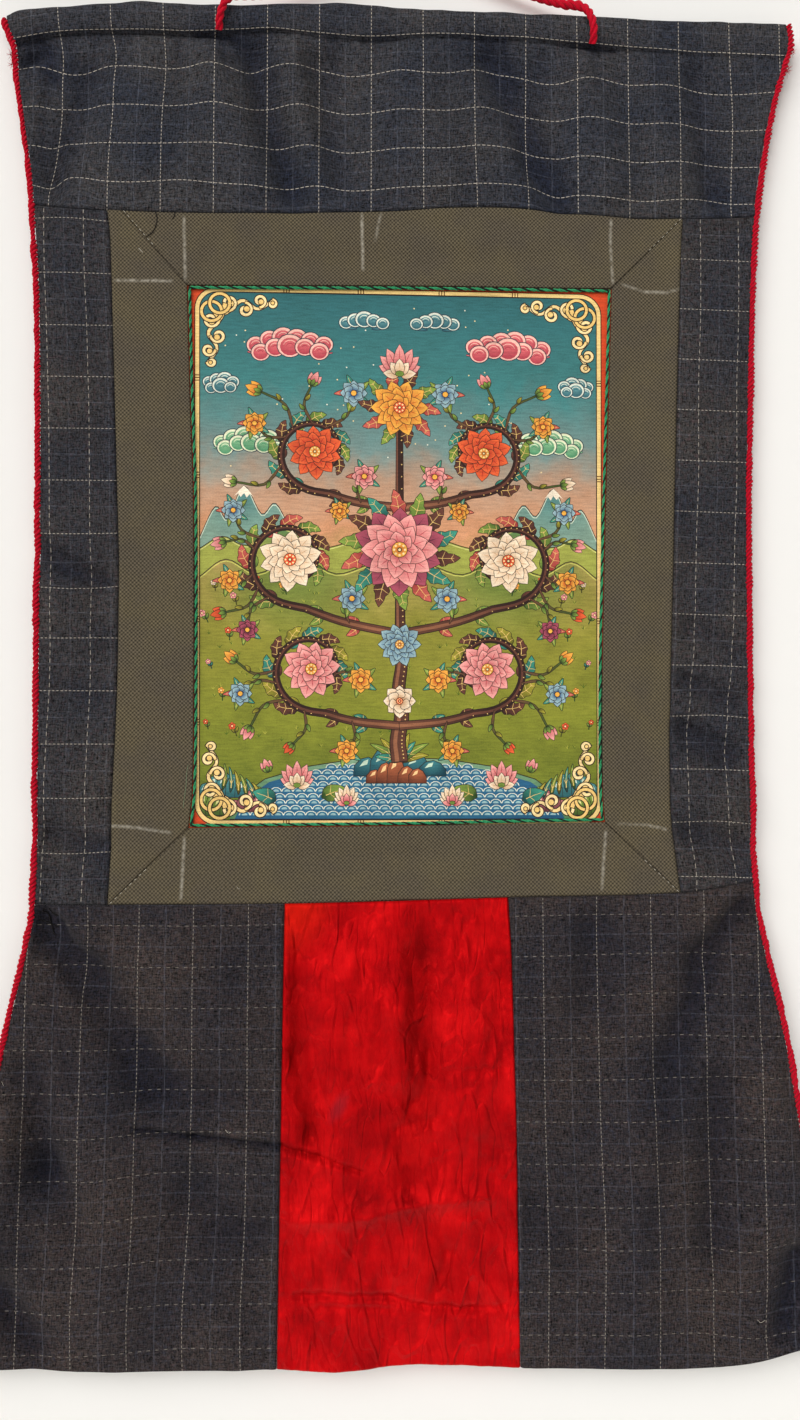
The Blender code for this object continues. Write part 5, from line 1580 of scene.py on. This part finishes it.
def top_band():
    """The band across the top, with its upper edge turned over and sewn down as a padded heading."""
    columns = stations(BAND_WIDE, SUITING_CELL)
    heading = np.array([0.0, 0.03, 0.08, 0.15, 0.25, 0.37, 0.5, 0.63, 0.75, 0.85, 0.92, 0.965, 1.0])
    x0, z0 = place_grid(cloth_left, cloth_right, top_edge, heading_seam, columns, heading)
    below = stations(BAND_TALL, SUITING_CELL)
    foot = shifted(upper_seam, SEAM / 2)

    def below_heading(px, pz):
        return step_up(np.minimum(heading_seam(px) - pz, pz - foot(px)), 0.0, 14.0)

    x1, z1 = place_grid(cloth_left, cloth_right, heading_seam, foot, columns, below[1:])
    x, z = np.concatenate([x0, x1]), np.concatenate([z0, z1])
    share = np.concatenate([np.repeat(heading[:, None], len(columns), 1), np.full(x1.shape, 1.0)])
    z = z + 0.7 * ruffle(x, z * 0, 14, 9, 5.2) * (1 - share) ** 2
    ends = step_up(np.minimum(x - cloth_left(z), cloth_right(z) - x), 0.0, 5.0)
    puff = heading_puff(x, share, ends)
    in_heading = share < 1.0
    gaps = [x - cloth_left(z), cloth_right(z) - x, z - foot(x)]
    base = hang(x, z)
    fine = suiting_relief(x, z, below_heading(x, z))
    front = (base + np.where(in_heading, fine * 0.4, fine) + heading_tuck(x, z) * (share >= 0.99)
             + sewn_roll(np.maximum(gaps[2], 0)) - CLOTH / 2 - puff)
    back = base + np.where(in_heading, 0.0, fine) + CLOTH / 2 + puff + turned_back(*gaps) * (share >= 1.0)
    back = np.maximum(back, front + THINNEST)
    back = np.minimum(back, WALL_NEAR + WALL_GIVE + 0.9)
    front = np.minimum(front, back - THINNEST)
    sheet = closed_sheet("top_panel_cloth", x, z - heading_sag(x, share), front, back, band_map, band_suiting)
    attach(sheet, "root")
    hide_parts("top_panel")

    faces_of["top_panel"] = lambda px, pz: (
        hang(px, pz) + suiting_relief(px, pz, below_heading(px, pz)) + sewn_roll(np.maximum(pz - foot(px), 0))
        + heading_tuck(px, pz) - CLOTH / 2)


def corner(side, line):
    """Where a line down one side crosses a line across the scroll."""
    z = float(line(0.0))
    for _ in range(8):
        x = float(side(z))
        z = float(line(x))
    return x, z


OUTER = {(v, h): corner(side, line)
         for v, line in (("top", upper_seam), ("foot", lower_seam))
         for h, side in (("left", mount_left), ("right", mount_right))}
INNER = {(v, h): corner(side, line)
         for v, line in (("top", open_top), ("foot", open_foot))
         for h, side in (("left", open_left), ("right", open_right))}
MITRE_ENDS = dict(OUTER)
MITRE_ENDS["top", "left"] = (OUTER["top", "left"][0] + MITRE_START, OUTER["top", "left"][1])


def mitre_x(v, h, step):
    """The x of a mitre's seam at each height, moved by a step."""
    (x0, z0), (x1, z1) = MITRE_ENDS[v, h], INNER[v, h]
    return shifted(diagonal(z0, x0, z1, x1), step)


def mitre_z(v, h, step):
    """The height of a mitre's seam at each x, moved by a step."""
    (x0, z0), (x1, z1) = MITRE_ENDS[v, h], INNER[v, h]
    slant = shifted(diagonal(x0, z0, x1, z1), step)
    return slant if v == "foot" else lambda x: np.minimum(slant(x), upper_seam(x) - SEAM / 2)


def loop_round(left, right, top, foot, count):
    """x and z of points round four lines, from the lower left corner to the lower right one and on."""
    (x0, z0), (x1, z1), (x2, z2), (x3, z3) = [
        corner(*pair) for pair in ((left, foot), (right, foot), (right, top), (left, top))]
    t = np.linspace(0.0, 1.0, count, endpoint=False)
    x = np.concatenate([x0 + (x1 - x0) * t, right(z1 + (z2 - z1) * t),
                        x2 + (x3 - x2) * t, left(z3 + (z0 - z3) * t)])
    z = np.concatenate([foot(x0 + (x1 - x0) * t), z1 + (z2 - z1) * t,
                        top(x2 + (x3 - x2) * t), z3 + (z0 - z3) * t])
    return x, z


def triangles(points, edges, merge):
    """Triangles that keep the given edges, with points where they cross. Points this close become one."""
    places = [Vector(map(float, p)) for p in points]
    found = delaunay_2d_cdt(places, np.asarray(edges).tolist(), [], 0, merge, False)
    return np.array([tuple(v) for v in found[0]]), np.array([tuple(f) for f in found[2]])


def within(outline, x, q):
    """Which places are inside a closed outline."""
    after = np.roll(outline, -1, 0)
    x, q = x[:, None], q[:, None]
    with np.errstate(divide="ignore", invalid="ignore"):
        run, rise = (after - outline).T
        meets = run * (q - outline[:, 1]) / rise + outline[:, 0]
        crossed = ((outline[:, 1] > q) != (after[:, 1] > q)) & (x < meets)
    return crossed.sum(1) % 2 == 1


def seen_shapes(points):
    """The number of the shape that shows at each place: the last one painted over it."""
    order = np.argsort(points[:, 0])
    x, q = points[order].T
    seen = np.zeros(len(points), int)
    for number, one in enumerate(shapes):
        low, high = one.outline.min(0), one.outline.max(0)
        first, last = np.searchsorted(x, (low[0], high[0]))
        near = np.flatnonzero((q[first:last] > low[1]) & (q[first:last] < high[1])) + first
        if len(near):
            seen[order[near[within(one.outline, x[near], q[near])]]] = number
    return seen


def edges_of(faces):
    """Each triangle's three edges, and the triangle each belongs to."""
    return (np.concatenate([faces[:, [0, 1]], faces[:, [1, 2]], faces[:, [2, 0]]]),
            np.tile(np.arange(len(faces)), 3))


def shown_edges(points, faces):
    """Only the edges where one shape that shows meets another."""
    seen = seen_shapes(points[faces].mean(1))
    edges, owner = edges_of(faces)
    edges = np.sort(edges, 1)
    order = np.lexsort((edges[:, 1], edges[:, 0]))
    edges, owner = edges[order], owner[order]
    first = np.flatnonzero((edges[1:] == edges[:-1]).all(1))
    return edges[first[seen[owner[first]] != seen[owner[first + 1]]]]


def paint_corners(points, faces):
    """Linear colour of each triangle's corners. Where it fades to the ground its alpha is 0."""
    seen = seen_shapes(points[faces].mean(1))

    def tones(side, other):
        names = [getattr(one, side) for one in shapes]
        rest = [getattr(one, other) for one in shapes]
        plain = [UNSEEN if name == "ground" == spare else spare if name == "ground" else name
                 for name, spare in zip(names, rest)]
        known = {name: linear(name) for name in set(plain)}
        rgba = np.array([known[name] for name in plain])
        rgba[:, 3] = [name != "ground" for name in names]
        return rgba[seen][:, None, :]

    centre, near, far = (np.array([getattr(one, key) for one in shapes])[seen]
                         for key in ("centre", "near", "far"))
    away = np.hypot(*(points[faces] - centre[:, None, :]).transpose(2, 0, 1))
    share = np.clip((away - near[:, None]) / (far - near)[:, None], 0.0, 1.0)[..., None]
    return tones("inner", "outer") * (1 - share) + tones("outer", "inner") * share


def painted_sheet():
    """The painted canvas: one closed sheet whose front is cut along the edges of its painted shapes, each
    corner with its own colour, so the picture is sharp however close the view."""
    paint_picture()
    rim_x, rim_z = loop_round(shifted(open_left, -CANVAS_MARGIN), shifted(open_right, CANVAS_MARGIN),
                              shifted(open_top, CANVAS_MARGIN), shifted(open_foot, -CANVAS_MARGIN), RIM_STEPS)
    rim_q = rim_z - PICTURE_MIDDLE[1]
    rim = np.stack([(rim_x - PICTURE_MIDDLE[0]) / (1 + PICTURE_SPREAD * rim_q), rim_q], -1)
    starts = np.cumsum([0] + [len(one.outline) for one in shapes])
    loops = [np.stack([np.arange(a, b), np.roll(np.arange(a, b), -1)], -1)
             for a, b in zip(starts, starts[1:])]
    points, faces = triangles(np.concatenate([one.outline for one in shapes]), np.concatenate(loops), 0.04)
    used, kept = np.unique(shown_edges(points, faces), return_inverse=True)
    cell_x, cell_q = np.meshgrid(np.arange(-128.0, 129.0, CANVAS_CELL), np.arange(-160.0, 161.0, CANVAS_CELL))
    lattice = np.stack([cell_x.ravel() + 0.13, cell_q.ravel() + 0.21], -1)
    edge = np.arange(len(rim))
    rim_edges = np.stack([edge, np.roll(edge, -1)], -1)
    points, faces = triangles(np.concatenate([points[used], rim, lattice]),
                              np.concatenate([kept.reshape(-1, 2), rim_edges + len(used)]), 0.05)
    faces = faces[within(rim, *points[faces].mean(1).T)]
    used, faces = np.unique(faces, return_inverse=True)
    points, faces = points[used], faces.reshape(-1, 3)
    colours = paint_corners(points, faces)

    # the plain back shares the front's rim
    edges, _ = edges_of(faces)
    borders = {tuple(edge) for edge in edges.tolist()}
    borders = np.array([edge for edge in borders if edge[::-1] not in borders])
    rim_points, borders_back = np.unique(borders, return_inverse=True)
    back_cells = lattice[(np.abs(lattice[:, 0]) < 122) & (np.abs(lattice[:, 1]) < 154)][::3]
    found = delaunay_2d_cdt([Vector(map(float, p)) for p in np.concatenate([points[rim_points], back_cells])],
                            borders_back.reshape(-1, 2).tolist(), [], 0, 1e-4, True)
    back_points = np.array([tuple(v) for v in found[0]])
    back_faces = np.array([tuple(f) for f in found[2]])
    back_faces = back_faces[within(rim, *back_points[back_faces].mean(1).T)]
    back_rim = {ids[0]: place for place, ids in enumerate(found[3]) if ids}

    every = np.concatenate([points, back_points])
    z = every[:, 1] + PICTURE_MIDDLE[1]
    x = PICTURE_MIDDLE[0] + every[:, 0] * (1 + PICTURE_SPREAD * every[:, 1])
    middle = hang(x, z) + CANVAS_SET_BACK + canvas_relief(x, z)
    y = middle + CLOTH / 2 * np.where(np.arange(len(every)) < len(points), -1, 1)
    behind = {int(rim_points[i]): len(points) + back_rim[i] for i in range(len(rim_points))}
    walls = ([(b, a, behind[a]) for a, b in borders.tolist()]
             + [(b, behind[a], behind[b]) for a, b in borders.tolist()])
    every_face = np.concatenate([faces, back_faces[:, ::-1] + len(points), walls])
    mesh = bpy.data.meshes.new("painting_cloth")
    mesh.from_pydata((np.stack([x, y, z], -1) * MM).tolist(), [], every_face.tolist())
    corners = every_face.reshape(-1)
    mesh.uv_layers.new(name="cloth_mm").data.foreach_set(
        "uv", np.stack([x[corners], z[corners]], -1).reshape(-1).astype(np.float32))
    paint = np.zeros((len(corners), 4), np.float32)
    paint[:] = linear(BARE_CANVAS)
    paint[:len(faces) * 3] = colours.reshape(-1, 4)
    mesh.color_attributes.new("paint", "FLOAT_COLOR", "CORNER").data.foreach_set("color", paint.reshape(-1))
    mesh.shade_smooth()
    sheet = placed("painting_cloth", mesh, canvas)
    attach(sheet, "root")
    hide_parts("painting")
    faces_of["painting"] = lambda px, pz: hang(px, pz) + CANVAS_SET_BACK + canvas_relief(px, pz) - CLOTH / 2


def sew_sheets():
    """Every sheet of cloth, from the top down and the painting last."""
    top_band()
    half = SEAM / 2
    waist_above, waist_below = shifted(lower_seam, half), shifted(lower_seam, -half)
    band_foot = shifted(upper_seam, -half)
    strip = SUITING_CELL, suiting_relief, side_suiting
    hung_sheet("side_panel_left", cloth_left, shifted(mount_left, -half), band_foot, waist_above, *strip,
               side_map("left", -197.7, -131.6, 29.68), ("upper", "lower", "right"))
    hung_sheet("side_panel_right", shifted(mount_right, half), cloth_right, band_foot, waist_above, *strip,
               side_map("right", 173.6, -145.6, 29.78), ("upper", "lower", "left"))
    lower = SUITING_CELL, suiting_relief, lower_suiting
    hung_sheet("lower_panel_left", cloth_left, shifted(satin_left, -half), waist_below, hem_line, *lower,
               lower_map(-82.8, 30.2, -528.4), ("upper", "right"))
    hung_sheet("lower_panel_right", shifted(satin_right, half), cloth_right, waist_below, hem_line, *lower,
               lower_map(81.0, 30.4, -524.1), ("upper", "left"))
    hung_sheet("centre_panel", shifted(satin_left, half), shifted(satin_right, -half), waist_below, hem_line,
               SATIN_CELL, satin_relief, satin, plain_map, ("upper", "left", "right"))
    mount = MOUNT_CELL, mount_relief, mount_cloth, plain_map
    hung_sheet("mount_top", mitre_x("top", "left", SEAM), mitre_x("top", "right", -SEAM), band_foot, open_top,
               *mount, ("upper", "left", "right"))
    hung_sheet("mount_bottom", mitre_x("foot", "left", SEAM), mitre_x("foot", "right", -SEAM), open_foot,
               waist_above, *mount, ("lower", "left", "right"))
    hung_sheet("mount_left", shifted(mount_left, half), open_left, mitre_z("top", "left", -SEAM),
               mitre_z("foot", "left", SEAM), *mount, ("left", "upper", "lower"))
    hung_sheet("mount_right", open_right, shifted(mount_right, -half), mitre_z("top", "right", -SEAM),
               mitre_z("foot", "right", SEAM), *mount, ("right", "upper", "lower"))
    painted_sheet()


sew_sheets()


# ---------------------------------------------------------------- sewn cords
def fuzz(core, name, per_square_metre, length, radius):
    """Loose fibres on a core's mesh, which is used up."""
    loose = grow(placed(name + "_core", core), fibres, {
        "Per square metre": per_square_metre, "Fibre length": length * MM,
        "Fibre radius": radius * MM, "Unevenness": 0.6, "Seed": 5, "Material": red_yarn}, name)
    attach(loose, "root")


def edge_cords():
    """The red cords sewn along the two sides."""
    for name, line, inward in (("edge_cord_left", cord_left, 1), ("edge_cord_right", cord_right, -1)):
        start = float(top_edge(line(0.0))) - 1.0
        end = float(hem_line(line(HEM)))
        z = np.linspace(start, end, 900)
        edge = inward * (EDGE_CORD / 2 + EDGE_CLEAR)
        wobble = 0.34 * ruffle(z, z * 0, 7, 7, 2.2 if inward > 0 else 6.1)
        x = line(z) + wobble
        guide = guide_curve(name, np.stack([x, hang(line(z) + edge, z), z], -1))
        for i, point in enumerate(guide.data.splines[0].points):
            bound = 0.28 * math.exp(-((z[i] - start) / 9.0) ** 2)      # its whipped upper end
            point.radius = 1.0 + bound + 0.34 * noise.noise(Vector((z[i] / 4.5, inward * 3.0, 0.5)))
        cord = twisted(guide, name, EDGE_CORD, 0.51, SEWN_LAY_LENGTH, 2.4, 0.0011, 9, red_yarn)
        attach(cord, "root")
        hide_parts(name)
        fuzz(cord.data.copy(), name + "_fuzz", 70000.0, 0.9, 0.05)


def cord_tufts():
    """The small tufts that stand out of the side cords."""
    tufts = bmesh.new()
    for side, z in CORD_TUFTS:
        x = float(cord_left(z)) - 1.6 if side == "left" else float(cord_right(z)) + 1.6
        place = Vector((x, float(hang(x, z)) - 0.6, z)) * MM
        bmesh.ops.create_icosphere(tufts, subdivisions=1, radius=0.8 * MM, matrix=Matrix.Translation(place))
    mesh = bpy.data.meshes.new("tuft_roots")
    tufts.to_mesh(mesh)
    fuzz(mesh, "cord_tufts", 4.5e6, 2.4, 0.13)


edge_cords()
cord_tufts()
green_yarn = yarn("green_cord_yarn", "#12603c", "#3fae74", 1800.0, 0.7, "#14201b")


def painting_cord():
    """The thin twisted cord round the painting, laid on the canvas against the mount's inner edge."""
    inset = PAINTING_CORD / 2 + CLEAR
    lift = CANVAS_SET_BACK - CLOTH / 2 - PAINTING_CORD / 2 - CLEAR
    left, right = shifted(open_left, inset), shifted(open_right, -inset)
    top, foot = shifted(open_top, -inset), shifted(open_foot, inset)
    x, z = loop_round(left, right, top, foot, 200)
    guide = guide_curve("painting_cord", np.stack([x, hang(x, z) + lift, z], -1))
    guide.data.splines[0].use_cyclic_u = True
    cord = twisted(guide, "painting_cord", PAINTING_CORD, 0.54, SEWN_LAY_LENGTH, 1.2, 0.0007, 7, green_yarn)
    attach(cord, "root")
    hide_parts("painting_cord")


painting_cord()


# ---------------------------------------------------------------- stitches, loose threads and lint
STITCH_PITCH, STITCH_LENGTH, STITCH_THICK = 3.4, 1.9, 0.30
THREADS = {"dark": yarn("dark_sewing_thread", "#090706", "#1a1511", 2200.0),
           "pale": yarn("pale_sewing_thread", "#a89f8c", "#dcd5c6", 2200.0),
           "green": yarn("pale_green_thread", "#67805f", "#a3b894", 2200.0)}


def mitre_stitches():
    """Stitches down the mitres: pale outside, dark towards the picture."""
    for v, sheet in (("top", "mount_top"), ("foot", "mount_bottom")):
        for h in ("left", "right"):
            (x0, z0), (x1, z1) = MITRE_ENDS[v, h], INNER[v, h]
            step = 0.7 if h == "left" else -0.7
            for kind, start, end in (("pale", 0.03, 0.45), ("dark", 0.30, 0.98)):
                t = np.linspace(start, end, 30)
                x, z = x0 + (x1 - x0) * t + step, z0 + (z1 - z0) * t
                name = f"mitre_stitches_{v}_{h}_{kind}"
                guide = guide_curve(name + "_guide", np.stack([x, faces_of[sheet](x, z), z], -1))
                sewn = grow(guide, stitches, {
                    "Pitch": STITCH_PITCH * MM, "Half length": STITCH_LENGTH / 2 * MM,
                    "Thread radius": STITCH_THICK / 2 * MM, "Unevenness": 0.22, "Seed": 7,
                    "Material": THREADS[kind]}, name)
                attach(sewn, "root")


def loose_threads():
    """The threads and lint that lie on the cloth."""
    for number, one in enumerate(LOOSE_THREADS):
        x, z = joined(one.places, 8 * len(one.places)).T
        y = faces_of[one.sheet](x, z) - one.thick / 2
        name = f"loose_thread_{number + 1}"
        thread = grow(guide_curve(name + "_guide", np.stack([x, y, z], -1)), plies,
                      {"Plies": 3, "Cord radius": one.thick * 0.24 * MM, "Ply radius": one.thick * 0.27 * MM,
                       "Turns per metre": 900.0, "Unevenness": 0.0, "Step": 0.0004, "Sides": 5,
                       "Material": THREADS[one.kind]}, name)
        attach(thread, "root")


mitre_stitches()
loose_threads()


# ---------------------------------------------------------------- stage and light
def stage():
    """A pale wall behind the scroll and a pale floor below the view, in metres."""
    material, add = new_material("pale_wall", Roughness=0.9, Specular_IOR_Level=0.1,
                                 Base_Color=linear("#e9e7e3"))
    nodes = material.node_tree.nodes
    mixed = add("MixShader", {0: add("NewGeometry", out="Backfacing"), 1: nodes["Principled BSDF"].outputs[0],
                              2: add("BsdfTransparent")})
    material.node_tree.links.new(mixed, nodes["Material Output"].inputs["Surface"])
    wall_y, floor_z, half, top = 0.0096, -1.15, 2.2, 1.1
    for name, points in (
            ("wall", [(-half, wall_y, floor_z), (half, wall_y, floor_z), (half, wall_y, top),
                      (-half, wall_y, top)]),
            ("floor", [(-half, -2.4, floor_z), (half, -2.4, floor_z), (half, wall_y, floor_z),
                       (-half, wall_y, floor_z)])):
        mesh = bpy.data.meshes.new(name)
        mesh.from_pydata(points, [], [(0, 1, 2, 3)])
        thing = placed(name, mesh, material)
        thing.visible_shadow = False        # so the lamp behind the wall reaches the scroll's back


def lights():
    """A soft key from the upper left, like a window's, and lamps in front, on the right and behind."""
    aim = Vector((0.0, 0.0, -0.40))
    for name, kind, place, size, power in (
            ("key_light", "SUN", (-1.5, -2.2, 0.9), 0.9, 2.45),
            ("front_light", "AREA", (0.0, -1.3, 0.1), 0.9, 3.9),
            ("fill_light", "AREA", (1.3, -1.6, -0.2), 1.4, 3.0),
            ("back_light", "AREA", (0.3, 1.6, 0.2), 1.5, 17.0)):
        data = bpy.data.lights.new(name, kind)
        data.energy = power
        if kind == "SUN":
            data.angle = size
        else:
            data.shape = "DISK"
            data.size = size
        lamp = placed(name, data)
        lamp.location = place
        lamp.rotation_euler = (aim - Vector(place)).to_track_quat("-Z", "Y").to_euler()
    world = bpy.data.worlds.new("studio")
    world.use_nodes = True
    background = world.node_tree.nodes["Background"]
    background.inputs["Color"].default_value = linear("#f4f3f1")
    background.inputs["Strength"].default_value = 0.22
    bpy.context.scene.world = world
    bpy.context.scene.view_settings.view_transform = "Standard"


stage()
lights()
